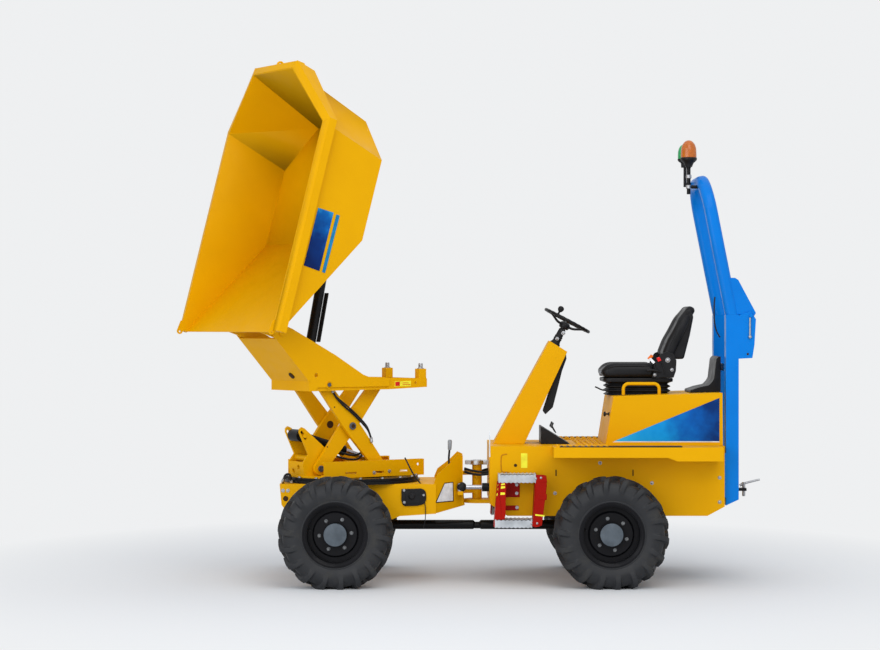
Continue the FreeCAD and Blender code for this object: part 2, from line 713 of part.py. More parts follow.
def upper_frame():
    t = GUSSET_PLATE
    gussets = both_sides(profile_y(GUSSET, -RAIL_OUTER - t, -RAIL_OUTER))
    rails = both_sides(channel(-475 + 12, UP_RAIL_REAR, UP_RAIL_Z, UP_RAIL_HEIGHT))
    sheet = profile_y([(-475, 1367), (-745, 1671), (-737, 1678), (-467, 1374)], -RAIL_OUTER, RAIL_OUTER)
    lower = box(-475, -463, -RAIL_OUTER, RAIL_OUTER, UP_RAIL_Z, 1370)
    rear = box(UP_RAIL_REAR - 12, UP_RAIL_REAR, -RAIL_OUTER, RAIL_OUTER, UP_RAIL_Z, UP_RAIL_Z + UP_RAIL_HEIGHT)
    pins = both_sides(pin_y(PIN_FRONT, PIN_HIGH_Z, -RAIL_OUTER - 18, -ARM_A_IN + 2, ARM_PIN_RADIUS))
    webs = both_sides(arm_bar((TIP_CROSS_U, TIP_CROSS_Z), (TIP_BASE_U, TIP_BASE_Z), 52, -57, -43))
    cross = pin_y(TIP_CROSS_U, TIP_CROSS_Z, -RAIL_OUTER, RAIL_OUTER, 22)
    tip_pin = pin_y(TIP_BASE_U, TIP_BASE_Z, -62, 62, TIP_PIN_RADIUS)
    body = join(gussets + rails + [sheet, lower, rear, cross, tip_pin] + webs + pins)
    return body.cut(pin_y(HINGE_U, HINGE_Z, -400, 400, ARM_PIN_RADIUS + RUNNING_FIT))


nodes["upper_frame"] = slewed(upper_frame())


# Skip
LIP_U = HINGE_U - HINGE_BACK
LIP_Z = HINGE_Z + HINGE_DOWN


def keep_below(shape, point, normal):
    """Cut away what lies beyond a plane, on the side that its normal points to."""
    size = 6000.0
    block = Part.makeBox(size, size, size, V(-size / 2, -size / 2, 0))
    block.Placement = FreeCAD.Placement(V(*point), FreeCAD.Rotation(V(0, 0, 1), V(*normal)))
    return shape.cut(block)


def unit(vector):
    length = math.sqrt(sum(c * c for c in vector))
    return tuple(c / length for c in vector)


REAR_NORMAL = unit((SKIP_DEPTH + RIM_REAR_Z, 0.0, FLOOR_REAR - RIM_REAR))
CORNER_EDGE = V(RIM_REAR - RIM_SIDE_END, SKIP_HALF - RIM_REAR_HALF, RIM_REAR_Z - RIM_SIDE_Z)
CORNER_DROP = V(FLOOR_SIDE_END - RIM_SIDE_END, 0, -SKIP_DEPTH - RIM_SIDE_Z)
CORNER_NORMAL = CORNER_DROP.cross(CORNER_EDGE).normalize()


def skip_body(inset):
    """Closed outer form of the tub, or its inside when inset is the wall."""
    half = SKIP_HALF - inset
    top = 600.0 if inset else 0.0
    slope = (SKIP_DEPTH - SKIP_LIP_DEPTH) / RAMP_FOOT
    rise = inset * math.sqrt(1 + slope * slope)
    ramp_top = -SKIP_LIP_DEPTH + rise
    foot = (SKIP_DEPTH - inset + ramp_top) / slope
    tail = RIM_REAR + 60.0
    side = [(tail, -SKIP_DEPTH + inset), (tail, RIM_REAR_Z + top)]
    if inset:
        side += [(-80.0, top), (-80.0, ramp_top + 80.0 * slope), (foot, -SKIP_DEPTH + inset)]
    else:
        side += [(RIM_REAR, RIM_REAR_Z), (RIM_SIDE_END, RIM_SIDE_Z), (0.0, 0.0), (0.0, -SKIP_LIP_DEPTH),
                 (RAMP_FOOT, -SKIP_DEPTH)]
    body = profile_y([(LIP_U + u, LIP_Z + z) for u, z in side], -half, half)
    n = REAR_NORMAL
    body = keep_below(body, (LIP_U + RIM_REAR - n[0] * inset, 0, LIP_Z + RIM_REAR_Z - n[2] * inset), n)
    c = CORNER_NORMAL
    for hand in (-1, 1):
        point = (LIP_U + RIM_SIDE_END - c.x * inset, hand * (SKIP_HALF + c.y * inset),
                 LIP_Z + RIM_SIDE_Z - c.z * inset)
        body = keep_below(body, point, (c.x, -hand * c.y, c.z))
    return body


RIM_PATH = [
    # u, v, z of the rim's inner top edge
    (0.0, -SKIP_HALF, 0.0),
    (RIM_SIDE_END, -SKIP_HALF, RIM_SIDE_Z),
    (RIM_REAR, -RIM_REAR_HALF, RIM_REAR_Z),
    (RIM_REAR, RIM_REAR_HALF, RIM_REAR_Z),
    (RIM_SIDE_END, SKIP_HALF, RIM_SIDE_Z),
    (0.0, SKIP_HALF, 0.0),
]


def rim_bar(start, end, turn_before, turn_after):
    """One straight of the rim tube, mitred in plan at each bend."""
    d = V(end[0] - start[0], end[1] - start[1], end[2] - start[2])
    flat = V(d.x, d.y, 0).normalize()
    out = V(flat.y, -flat.x, 0)
    reach = 90.0
    a = V(LIP_U + start[0], start[1], LIP_Z + start[2]) - V(d).normalize() * reach
    loop = [a - out * 1.0, a + out * RIM_OUT - V(0, 0, RIM_DROP), a + out * RIM_OUT - V(0, 0, RIM_DROP + RIM_DEPTH),
            a - out * 1.0 - V(0, 0, RIM_DEPTH)]
    bar = Part.Face(Part.makePolygon(loop + loop[:1])).extrude(d + V(d).normalize() * (2 * reach))
    before = V(*turn_before).normalize() + flat
    after = V(*turn_after).normalize() + flat
    bar = keep_below(bar, (LIP_U + start[0], start[1], 0), (-before.x, -before.y, 0))
    return keep_below(bar, (LIP_U + end[0], end[1], 0), (after.x, after.y, 0))


def skip_rim():
    plan = []
    for a, b in zip(RIM_PATH[:-1], RIM_PATH[1:]):
        plan.append((b[0] - a[0], b[1] - a[1], 0.0))
    bars = []
    for i, (a, b) in enumerate(zip(RIM_PATH[:-1], RIM_PATH[1:])):
        before = plan[max(i - 1, 0)]
        after = plan[min(i + 1, len(plan) - 1)]
        bars.append(rim_bar(a, b, before, after))
    return join(bars)


def skip_solid():
    tub = skip_body(0.0).cut(skip_body(SKIP_WALL))
    rim = skip_rim().cut(skip_body(SKIP_WALL))
    return join([tub, rim])


def skip_brackets():
    """Hinge ears under the ramp, and the tip cylinder's lugs under the floor."""
    ear = [(LIP_U + 30, LIP_Z - 68.5), (LIP_U + 330, LIP_Z - 243), (LIP_U + 110, LIP_Z - 320),
           (LIP_U + 60, LIP_Z - 330), (LIP_U + 20, LIP_Z - 300)]
    ears = both_sides(profile_y(ear, -222, -200))
    pins = both_sides(pin_y(HINGE_U, HINGE_Z, -RAIL_OUTER - GUSSET_PLATE - 8, -200, ARM_PIN_RADIUS))
    eye_u = LIP_U + TIP_EYE_BACK
    eye_z = LIP_Z - TIP_EYE_DOWN
    lug = [(eye_u - 80, LIP_Z - SKIP_DEPTH), (eye_u + 80, LIP_Z - SKIP_DEPTH), (eye_u + 30, eye_z - 22),
           (eye_u - 30, eye_z - 22)]
    lugs = both_sides(profile_y(lug, -50, -36))
    heads = both_sides(pin_y(eye_u, eye_z, -58, -50, 18))
    hinges = [join([e, p]) for e, p in zip(ears, pins)]
    mounts = [join([g, h]) for g, h in zip(lugs, heads)]
    return Part.makeCompound(hinges + mounts)


nodes["skip"] = slewed(tipped(skip_solid()))
nodes["skip_brackets"] = slewed(tipped(skip_brackets()))


# Cylinders drawn in the slewed works' own plane
def cylinder_pair(base, eye, barrel_radius, rod_radius, barrel_length, half_width, pin_radius, rod_length):
    """Barrel with a bored base eye, and rod whose end eye carries its own pin."""
    b = V(base[0], 0, base[1])
    e = V(eye[0], 0, eye[1])
    d = (e - b).normalize()
    head = b + d * barrel_length
    boss = pin_radius + 11
    barrel = join([rod(tuple(b), tuple(head), barrel_radius), pin_y(b.x, b.z, -half_width, half_width, boss)])
    bore = rod(tuple(b + d * (boss + 8)), tuple(head + d), rod_radius + RUNNING_FIT)
    barrel = barrel.cut(bore).cut(pin_y(b.x, b.z, -90, 90, pin_radius + RUNNING_FIT))
    rod_start = e - d * rod_length
    piston = join([rod(tuple(rod_start), tuple(e), rod_radius), pin_y(e.x, e.z, -half_width, half_width, boss - 4)])
    return barrel, piston


lift_eye = (2 * PIN_CROSS - PIN_FRONT, PIN_LOW_Z + LIFT_EYE_RISE)
probe = Part.Vertex(V(LIP_U + TIP_EYE_BACK, 0, LIP_Z - TIP_EYE_DOWN))
probe.rotate(V(HINGE_U, 0, HINGE_Z), V(0, 1, 0), -TIP_ANGLE)
tip_eye = (probe.Point.x, probe.Point.z)

lift_barrel, lift_rod = cylinder_pair((LIFT_BASE_U, LIFT_BASE_Z), lift_eye, 36, 20, 390, 31, LIFT_PIN_RADIUS, LIFT_ROD_LENGTH)
nodes["lift_barrel"] = slewed(lift_barrel)
nodes["lift_rod"] = slewed(lift_rod)
tip_barrel, tip_rod = cylinder_pair((TIP_BASE_U, TIP_BASE_Z), tip_eye, 34, 20, 590, 35, TIP_PIN_RADIUS, TIP_ROD_LENGTH)
nodes["tip_barrel"] = slewed(tip_barrel)
nodes["tip_rod"] = slewed(tip_rod)


# Steering cylinder, drawn in the machine's frame
def steering_cylinder():
    base = V(STEER_BASE_X, STEER_Y, STEER_Z)
    eye = V(STEER_EYE_X, STEER_Y, STEER_Z)
    gland = V(STEER_GLAND_X, STEER_Y, STEER_Z)
    up = V(0, 0, 1)
    barrel = join([rod(tuple(base), tuple(gland), STEER_BARREL_RADIUS),
                   rod(tuple(base - up * 31.5), tuple(base + up * 31.5), 31)])
    bore = rod(tuple(base - V(45, 0, 0)), tuple(gland - V(1, 0, 0)), STEER_ROD_RADIUS + RUNNING_FIT)
    barrel = barrel.cut(bore).cut(rod(tuple(base - up * 60), tuple(base + up * 60), STEER_PIN_RADIUS + RUNNING_FIT))
    shaft = rod(tuple(eye + V(STEER_ROD_LENGTH, 0, 0)), tuple(eye), STEER_ROD_RADIUS)
    end = rod(tuple(eye - up * 26), tuple(eye + up * 26), 21)
    return barrel, join([shaft, end])


nodes["steer_barrel"], nodes["steer_rod"] = steering_cylinder()


# Fittings of the rear chassis
def grab_handle():
    points = [(1918.0, 1290.0), (1922.0, 1372.0), (2178.0, 1372.0), (2182.0, 1290.0)]
    y = -330.0
    pieces = []
    for a, b in zip(points[:-1], points[1:]):
        pieces.append(rod((a[0], y, a[1]), (b[0], y, b[1]), 13.5))
    for x, z in points[1:3]:
        pieces.append(Part.makeSphere(13.5, V(x, y, z)))
    handle = join(pieces)
    return handle.cut(profile_y(SEAT_BOX, -SEAT_BOX_HALF, SEAT_BOX_HALF))


for side_name, handle in zip(("left", "right"), both_sides(grab_handle())):
    nodes["grab_handle_" + side_name] = handle

SEAT_GUARD = [
    # x, z
    (2392.0, 1299.5),
    (2398.0, 1330.0),
    (2480.0, 1345.0),
    (2560.0, 1380.0),
    (2575.0, 1520.0),
    (2588.0, 1520.0),
    (2588.0, 1306.0),
]
nodes["seat_guard"] = profile_y(SEAT_GUARD, -200, 200).cut(profile_y(SEAT_BOX, -500, 500))


def hitch():
    jaw = box(REAR_END_X, REAR_END_X + 70, -60, 60, 590, 606)
    jaw_top = box(REAR_END_X, REAR_END_X + 70, -60, 60, 660, 676)
    pin = rod((REAR_END_X + 48, 0, 570), (REAR_END_X + 48, 0, 720), 14)
    handle = rod((REAR_END_X + 48, 0, 712), (REAR_END_X + 110, 0, 712), 7)
    return join([jaw, jaw_top, pin, handle])


nodes["hitch"] = hitch()

BEACONS = [
    # name, x, y, radius, height
    ("beacon_amber", 2383.0, -200.0, 54.0, 125.0),
    ("beacon_green", 2383.0, 120.0, 40.0, 90.0),
]


def beacon(x, y, radius, height):
    z = 2893.0
    arm = rod((2427.0, y, 2735.0), (x, y, 2735.0), 14)
    pole = rod((x, y, 2721.0), (x, y, z - 60), 13)
    base = rod((x, y, z - 60), (x, y, z), radius * 0.8)
    lens = rod((x, y, z), (x, y, z + height - radius * 0.6), radius)
    cap = Part.makeSphere(radius, V(x, y, z + height - radius))
    upper = box(x - 99, x + 99, y - 99, y + 99, z, z + 300)
    return join([arm, pole, base, lens, cap.common(upper)])


for name, x, y, radius, height in BEACONS:
    nodes[name] = beacon(x, y, radius, height)


# Rest pads for the skip on the upper frame
def rest_pad():
    x = 403.0
    top = HINGE_Z + HINGE_DOWN - SKIP_DEPTH
    post = box(x - 30, x + 30, -230, -170, UP_RAIL_Z + UP_RAIL_HEIGHT, top - 45)
    return join([post, rod((x, -200, top - 45), (x, -200, top - 6), 26)])


nodes["rest_pads"] = slewed(Part.makeCompound(both_sides(rest_pad())))


for name, shape in nodes.items():
    moved = shape.copy()
    moved.translate(V(-CENTRE_X, -CENTRE_Y, 0))
    moved.exportStep("parts/" + name + ".step")
    print(name, round(moved.Volume / 1e6, 3), "litres, solids", len(moved.Solids), "valid", moved.isValid())

everything = Part.makeCompound(list(nodes.values()))
bound = everything.BoundBox
print("X", round(bound.XMin, 2), round(bound.XMax, 2), "centre", round(bound.Center.x, 2))
print("Y", round(bound.YMin, 2), round(bound.YMax, 2), "centre", round(bound.Center.y, 2))
print("Z", round(bound.ZMin, 2), round(bound.ZMax, 2))
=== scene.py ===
"""Visual model of an articulated site dumper, its skip raised, swung to one side and tipped."""
import json
import math

import bmesh
import bpy
import numpy as np
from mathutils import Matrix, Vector


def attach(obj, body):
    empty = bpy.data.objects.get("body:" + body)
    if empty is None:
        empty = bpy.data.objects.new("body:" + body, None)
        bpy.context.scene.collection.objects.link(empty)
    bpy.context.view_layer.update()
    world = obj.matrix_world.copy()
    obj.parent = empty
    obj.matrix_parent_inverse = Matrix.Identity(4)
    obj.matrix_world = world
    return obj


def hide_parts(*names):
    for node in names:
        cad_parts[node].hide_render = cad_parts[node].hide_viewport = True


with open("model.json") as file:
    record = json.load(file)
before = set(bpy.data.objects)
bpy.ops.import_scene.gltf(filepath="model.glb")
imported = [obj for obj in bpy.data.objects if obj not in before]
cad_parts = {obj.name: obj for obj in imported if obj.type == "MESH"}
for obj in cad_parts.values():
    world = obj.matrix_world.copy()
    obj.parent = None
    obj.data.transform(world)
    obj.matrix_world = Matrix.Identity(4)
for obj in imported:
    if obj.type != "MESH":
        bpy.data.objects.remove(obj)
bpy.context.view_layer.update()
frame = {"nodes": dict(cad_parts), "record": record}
nodes = frame["nodes"]
record = frame["record"]
slot_of = {row["node"]: row["material_slot"] for row in record["subparts"]}
body_of = {n: b for b, held in record["behaviour"]["bodies"].items() for n in held}

# Machine sizes in millimetres, from the front axle, the centre plane and the ground
CENTRE_X = 851.9
CENTRE_Y = -161.2
SLEW_X = 80.0
SLEW_ANGLE = math.radians(34.0)
TIP_ANGLE = math.radians(74.0)
HINGE_U = -700.0
HINGE_Z = 1707.0
LIP_U = HINGE_U - 58.5
LIP_Z = HINGE_Z + 284.0
WHEELBASE = 1820.0
HALF_TRACK = 660.0
TYRE_RADIUS = 381.0
FLANK_Y = 440.0
STEP_Y = 600.0


def at(x, y, z):
    """Machine millimetres to the frame's metres, for numbers or whole arrays."""
    x, y, z = np.broadcast_arrays(np.asarray(x, float), np.asarray(y, float), np.asarray(z, float))
    return np.stack([(x - CENTRE_X) / 1000, (y - CENTRE_Y) / 1000, z / 1000], axis=-1)


def swung(u, v, z):
    """Places in the slewed works: u back from the slew axis, v to the right, z up."""
    u = np.asarray(u, float)
    v = np.asarray(v, float)
    c, s = math.cos(SLEW_ANGLE), math.sin(SLEW_ANGLE)
    return at(SLEW_X + u * c - v * s, u * s + v * c, z)


def tub(u, v, z):
    """Places on the skip, u back and z up from the top of its lip when it is level."""
    du = LIP_U + np.asarray(u, float) - HINGE_U
    dz = LIP_Z + np.asarray(z, float) - HINGE_Z
    c, s = math.cos(TIP_ANGLE), math.sin(TIP_ANGLE)
    return swung(HINGE_U + du * c - dz * s, v, HINGE_Z + du * s + dz * c)


# ---------------------------------------------------------------- shapes, in millimetres
def solid_mesh(name, shapes, place):
    """One mesh from one or more closed shapes, put in place with its normals outward."""
    verts, faces = joined(shapes)
    mesh = bpy.data.meshes.new(name)
    mesh.from_pydata(place(verts[:, 0], verts[:, 1], verts[:, 2]).tolist(), [], faces)
    bm = bmesh.new()
    bm.from_mesh(mesh)
    bmesh.ops.remove_doubles(bm, verts=bm.verts, dist=1e-6)
    bmesh.ops.recalc_face_normals(bm, faces=bm.faces)
    bm.to_mesh(mesh)
    bm.free()
    return mesh


def carved(mesh, holes, place):
    """The mesh with the given closed shapes taken out of it."""
    block = bpy.data.objects.new("block", mesh)
    drill = bpy.data.objects.new("drill", solid_mesh("drill", holes, place))
    for thing in (block, drill):
        bpy.context.collection.objects.link(thing)
    cut = block.modifiers.new("cut", "BOOLEAN")
    cut.operation = "DIFFERENCE"
    cut.solver = "EXACT"
    cut.use_self = True
    cut.object = drill
    done = bpy.data.meshes.new_from_object(block.evaluated_get(bpy.context.evaluated_depsgraph_get()))
    for thing in (block, drill):
        bpy.data.objects.remove(thing)
    return done


def make(name, shapes, body, slot, finish=None, place=at, smooth=35.0, bevel=0.0, stands_for=(), holes=()):
    """A piece from one or more shapes, drilled where holes are given, its edges sharp above an angle.

    It wears the finish of its slot unless another one is named.
    """
    mesh = solid_mesh(name, shapes, place)
    if holes:
        mesh = carved(mesh, holes, place)
        mesh.name = name
        mesh.materials.clear()
    shade(mesh, smooth)
    piece = bpy.data.objects.new(name, mesh)
    bpy.context.collection.objects.link(piece)
    mesh.materials.append(finish or finishes[slot])
    if bevel:
        ease(piece, bevel, smooth)
    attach(piece, body)
    if stands_for:
        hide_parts(*stands_for)
    return piece


def shade(mesh, angle):
    """Smooth shading all over, with the edges above an angle kept sharp."""
    mesh.polygons.foreach_set("use_smooth", np.ones(len(mesh.polygons), bool))
    mesh.set_sharp_from_angle(angle=math.radians(angle))
    mesh.update()


def ease(piece, width, angle):
    """Rounds the edges sharper than an angle, in millimetres, and keeps the flats flat."""
    edge = piece.modifiers.new("eased_edges", "BEVEL")
    edge.width = width / 1000
    edge.segments = 3
    edge.limit_method = "ANGLE"
    edge.angle_limit = math.radians(angle)
    edge.use_clamp_overlap = True
    edge.harden_normals = True


def joined(shapes):
    """Several shapes as one set of points and faces."""
    verts, faces, first = [], [], 0
    for v, f in shapes:
        v = np.asarray(v, float).reshape(-1, 3)
        verts.append(v)
        faces += [[i + first for i in face] for face in f]
        first += len(v)
    return np.vstack(verts), faces


def grid_faces(rows, cols, wrap_rows, wrap_cols):
    """Quads over a grid of points that is stored row by row."""
    a, b = np.meshgrid(np.arange(rows if wrap_rows else rows - 1), np.arange(cols if wrap_cols else cols - 1),
                       indexing="ij")
    a2, b2 = (a + 1) % rows, (b + 1) % cols
    quads = np.stack([a * cols + b, a2 * cols + b, a2 * cols + b2, a * cols + b2], axis=-1)
    return quads.reshape(-1, 4).tolist()


def tube(points, radius, sides=14):
    """Round tube: a circle in the plane across the path's tangent, carried along it and closed at both ends."""
    p = np.asarray(points, float)
    t = np.gradient(p, axis=0)
    t /= np.linalg.norm(t, axis=1, keepdims=True)
    ref = np.array([0.31, 0.93, 0.2]) if abs(t[:, 1]).max() < 0.8 else np.array([0.9, 0.1, 0.42])
    side = np.cross(t, ref)
    side /= np.linalg.norm(side, axis=1, keepdims=True)
    up = np.cross(side, t)
    a = np.linspace(0, 2 * np.pi, sides, endpoint=False)[None, :, None]
    r = np.broadcast_to(np.asarray(radius, float), (len(p),))[:, None, None]
    ring = p[:, None, :] + r * (np.cos(a) * side[:, None, :] + np.sin(a) * up[:, None, :])
    faces = grid_faces(len(p), sides, False, True)
    faces.append(list(range(sides)))
    faces.append(list(range((len(p) - 1) * sides, len(p) * sides))[::-1])
    return ring.reshape(-1, 3), faces


def curve(points, steps=8):
    """Catmull-Rom curve through the given points."""
    p = np.asarray(points, float)
    p = np.vstack([2 * p[0] - p[1], p, 2 * p[-1] - p[-2]])
    k = np.linspace(0, 1, steps, endpoint=False)[:, None]
    a, b, c, d = p[:-3, None], p[1:-2, None], p[2:-1, None], p[3:, None]
    body = 0.5 * (2 * b + (c - a) * k + (2 * a - 5 * b + 4 * c - d) * k ** 2 + (3 * b - a - 3 * c + d) * k ** 3)
    return np.vstack([body.reshape(-1, 3), p[-2:-1]])


def hose(points, radius, sides=14, steps=8):
    """Round tube along the smooth curve through the points."""
    return tube(curve(points, steps), radius, sides)


def turned(rows, centre, axis, segments=40):
    """Surface of revolution: a profile of (radius, offset along the axis) carried round the axis."""
    rows = np.asarray(rows, float)
    axis = np.asarray(axis, float) / np.linalg.norm(axis)
    ref = np.array([0.0, 0.0, 1.0]) if abs(axis[2]) < 0.9 else np.array([1.0, 0.0, 0.0])
    e1 = np.cross(axis, ref)
    e1 /= np.linalg.norm(e1)
    e2 = np.cross(axis, e1)
    a = np.linspace(0, 2 * np.pi, segments, endpoint=False)[:, None, None]
    r, h = rows[None, :, 0, None], rows[None, :, 1, None]
    pts = np.asarray(centre, float) + r * (np.cos(a) * e1 + np.sin(a) * e2) + h * axis
    return pts.reshape(-1, 3), grid_faces(segments, len(rows), True, False)


def plate(outline, y0, y1):
    """Flat plate on a side: an outline of (x, z) carried from one side plane to another."""
    o = np.asarray(outline, float)
    k = len(o)
    verts = np.vstack([np.c_[o[:, 0], np.full(k, y), o[:, 1]] for y in (y0, y1)])
    faces = [list(range(k)), list(range(k, 2 * k))[::-1]]
    faces += [[i, (i + 1) % k, k + (i + 1) % k, k + i] for i in range(k)]
    return verts, faces


def rounded_loop(a, b, r, count):
    """Evenly spaced loop of a rounded rectangle with half sides a and b and corner radius r."""
    q = np.linspace(0, np.pi / 2, 9)
    arcs = [np.c_[sx * (a - r) + r * np.cos(q + turn), sy * (b - r) + r * np.sin(q + turn)]
            for sx, sy, turn in ((1, 1, 0), (-1, 1, np.pi / 2), (-1, -1, np.pi), (1, -1, 1.5 * np.pi))]
    p = np.vstack(arcs + [arcs[0][:1]])
    run = np.r_[0, np.cumsum(np.linalg.norm(np.diff(p, axis=0), axis=1))]
    s = np.linspace(0, run[-1], count, endpoint=False)
    return np.c_[np.interp(s, run, p[:, 0]), np.interp(s, run, p[:, 1])]


def pad(length, width, height, edge, around=72):
    """Crowned pad about its middle: rounded loops along x, drawn in at both ends by a quarter circle."""
    turn = np.linspace(0, 1, 9) * np.pi / 2
    nose = length / 2 - edge + edge * np.sin(turn)
    x = np.r_[-nose[::-1], np.linspace(-nose[0], nose[0], 26)[1:-1], nose]
    draw = edge * (1 - np.sqrt(np.clip(1 - np.clip((np.abs(x) - nose[0]) / edge, 0, 1) ** 2, 0.0025, 1)))
    loops = [rounded_loop(width / 2 - d, height / 2 - d * 0.92, min(edge * 0.8, height / 2 - d) * 0.95, around)
             for d in draw]
    p = np.stack([np.c_[np.full(around, xi), loop] for xi, loop in zip(x, loops)])
    faces = grid_faces(len(x), around, False, True)
    faces.append(list(range(around)))
    faces.append(list(range((len(x) - 1) * around, len(x) * around))[::-1])
    return p, faces


def rise(value, low, high):
    """Smooth step from 0 at low to 1 at high."""
    t = np.clip((value - low) / (high - low), 0, 1)
    return t * t * (3 - 2 * t)


def bolt(x, y, z, axis, size, head=0.62):
    """Hexagon head on a round washer, standing on a face."""
    r = size
    washer = turned([(0, 0), (r * 1.25, 0), (r * 1.25, r * 0.16), (0, r * 0.16)], (x, y, z), axis, 20)
    top = turned([(0, r * 0.16), (r * 0.94, r * 0.16), (r * 0.94, r * head), (r * 0.8, r * (head + 0.1)),
                  (0, r * (head + 0.1))], (x, y, z), axis, 6)
    return [washer, top]


def dome(x, y, z, axis, size):
    """Button head: a quarter ellipse turned round its axis."""
    a = np.linspace(0, np.pi / 2, 7)
    rows = np.vstack([[(0, 0), (size * 1.3, 0), (size * 1.3, size * 0.12)],
                      np.c_[size * np.cos(a), size * (0.12 + 0.55 * np.sin(a))]])
    return [turned(rows, (x, y, z), axis, 20)]


def disc(centre, axis, radius, height, segments=24):
    """Round bar or disc that stands on a centre along an axis."""
    return turned([(0, 0), (radius, 0), (radius, height), (0, height)], centre, axis, segments)


def side_plate(outline, hand, inner, outer):
    """Plate on one side of the machine, between two distances from its middle."""
    return plate(outline, *sorted((hand * inner, hand * outer)))


def block(x0, x1, y0, y1, z0, z1):
    """Plain bar: a rectangle of x and z carried across."""
    return plate([(x0, z0), (x1, z0), (x1, z1), (x0, z1)], y0, y1)


def pin(x, z, y0, y1, radius, segments=32):
    """Round bar across the machine."""
    return turned([(0, 0), (radius, 0), (radius, y1 - y0), (0, y1 - y0)], (x, y0, z), (0, 1, 0), segments)


def both(shapes):
    """The shapes and their mirror images on the other side."""
    shapes = [(np.asarray(v, float).reshape(-1, 3), f) for v, f in shapes]
    return shapes + [(v * (1, -1, 1), f) for v, f in shapes]


def floor_plan(outline, z0, z1):
    """Flat plate lying down: an outline of (x, y) carried from one height to another."""
    v, f = plate(outline, z0, z1)
    return v[:, [0, 2, 1]], f


def bar_outline(start, end, width, end_width, belly):
    """Arm seen from the side: deepest over a length at its middle, with half-round ends."""
    a, b = np.asarray(start, float), np.asarray(end, float)
    d = (b - a) / np.linalg.norm(b - a)
    n = np.array([-d[1], d[0]])
    m = (a + b) / 2
    half_turn = np.linspace(-np.pi / 2, np.pi / 2, 15)[:, None]
    far = b + end_width / 2 * (np.cos(half_turn) * d + np.sin(half_turn) * n)
    near = a - end_width / 2 * (np.cos(half_turn) * d + np.sin(half_turn) * n)
    return np.vstack([far, m + d * belly + n * width / 2, m - d * belly + n * width / 2, near,
                      m - d * belly - n * width / 2, m + d * belly - n * width / 2])


def rail_bar(u0, u1, low0, high0, low1, high1, wall=8.0):
    """Channel open toward the centre: its web, its two flanges and its closed rear end, as one profile per side."""
    rows = []
    for u, low, high in ((u0, low0, high0), (u1, low1, high1)):
        rows.append([(u, -240, low), (u, -200, low), (u, -200, low + wall), (u, -232, low + wall),
                     (u, -232, high - wall), (u, -200, high - wall), (u, -200, high), (u, -240, high)])
    points = np.array(rows, float).reshape(-1, 3)
    faces = grid_faces(2, 8, False, True) + [list(range(8)), list(range(8, 16))[::-1]]
    return points, faces


# ---------------------------------------------------------------- materials
def nodes_of(name):
    """A new material: its tree, its main shader and its places in the frame."""
    mat = bpy.data.materials.new(name)
    mat.use_nodes = True
    tree = mat.node_tree
    tree.nodes.clear()
    out = tree.nodes.new("ShaderNodeOutputMaterial")
    shader = tree.nodes.new("ShaderNodeBsdfPrincipled")
    tree.links.new(shader.outputs["BSDF"], out.inputs["Surface"])
    coord = tree.nodes.new("ShaderNodeTexCoord")
    return mat, tree, shader, coord.outputs["Object"]


def noise(tree, vector, scale, detail=4.0, rough=0.55):
    """Soft noise over the given places."""
    n = tree.nodes.new("ShaderNodeTexNoise")
    n.inputs["Scale"].default_value = scale
    n.inputs["Detail"].default_value = detail
    n.inputs["Roughness"].default_value = rough
    tree.links.new(vector, n.inputs["Vector"])
    return n.outputs["Fac"]


def ramp(tree, value, stops):
    """Colours run between stops of (position, colour)."""
    r = tree.nodes.new("ShaderNodeValToRGB")
    el = r.color_ramp.elements
    while len(el) < len(stops):
        el.new(0.5)
    for e, (pos, col) in zip(el, stops):
        e.position = pos
        e.color = (*col, 1.0) if len(col) == 3 else col
    tree.links.new(value, r.inputs["Fac"])
    return r.outputs["Color"]


def spread(tree, value, low, high, a=0.35, b=0.65):
    """Carries the range a to b over to low to high, in a straight line."""
    m = tree.nodes.new("ShaderNodeMapRange")
    m.inputs["From Min"].default_value = a
    m.inputs["From Max"].default_value = b
    m.inputs["To Min"].default_value = low
    m.inputs["To Max"].default_value = high
    tree.links.new(value, m.inputs["Value"])
    return m.outputs["Result"]


def maths(tree, operation, first, second):
    """A sum, product or other operation on two sockets; the second may be a number."""
    m = tree.nodes.new("ShaderNodeMath")
    m.operation = operation
    tree.links.new(first, m.inputs[0])
    if isinstance(second, float):
        m.inputs[1].default_value = second
    else:
        tree.links.new(second, m.inputs[1])
    return m.outputs["Value"]


def seen_rays(tree):
    """1 for camera, glossy and transmission rays, which show a thing and don't light it: the largest of the three."""
    path = tree.nodes.new("ShaderNodeLightPath")
    seen = path.outputs["Is Camera Ray"]
    for ray in ("Is Glossy Ray", "Is Transmission Ray"):
        seen = maths(tree, "MAXIMUM", seen, path.outputs[ray])
    return seen


def mixed(tree, share, first, second, out):
    """Shows the second shader by its share and the first one by what is left."""
    mix = tree.nodes.new("ShaderNodeMixShader")
    tree.links.new(share, mix.inputs["Fac"])
    tree.links.new(first, mix.inputs[1])
    tree.links.new(second, mix.inputs[2])
    tree.links.new(mix.outputs["Shader"], out.inputs["Surface"])


def bump(tree, shader, height, strength, distance):
    """Small relief on the surface from a height."""
    b = tree.nodes.new("ShaderNodeBump")
    b.inputs["Strength"].default_value = strength
    b.inputs["Distance"].default_value = distance
    tree.links.new(height, b.inputs["Height"])
    tree.links.new(b.outputs["Normal"], shader.inputs["Normal"])


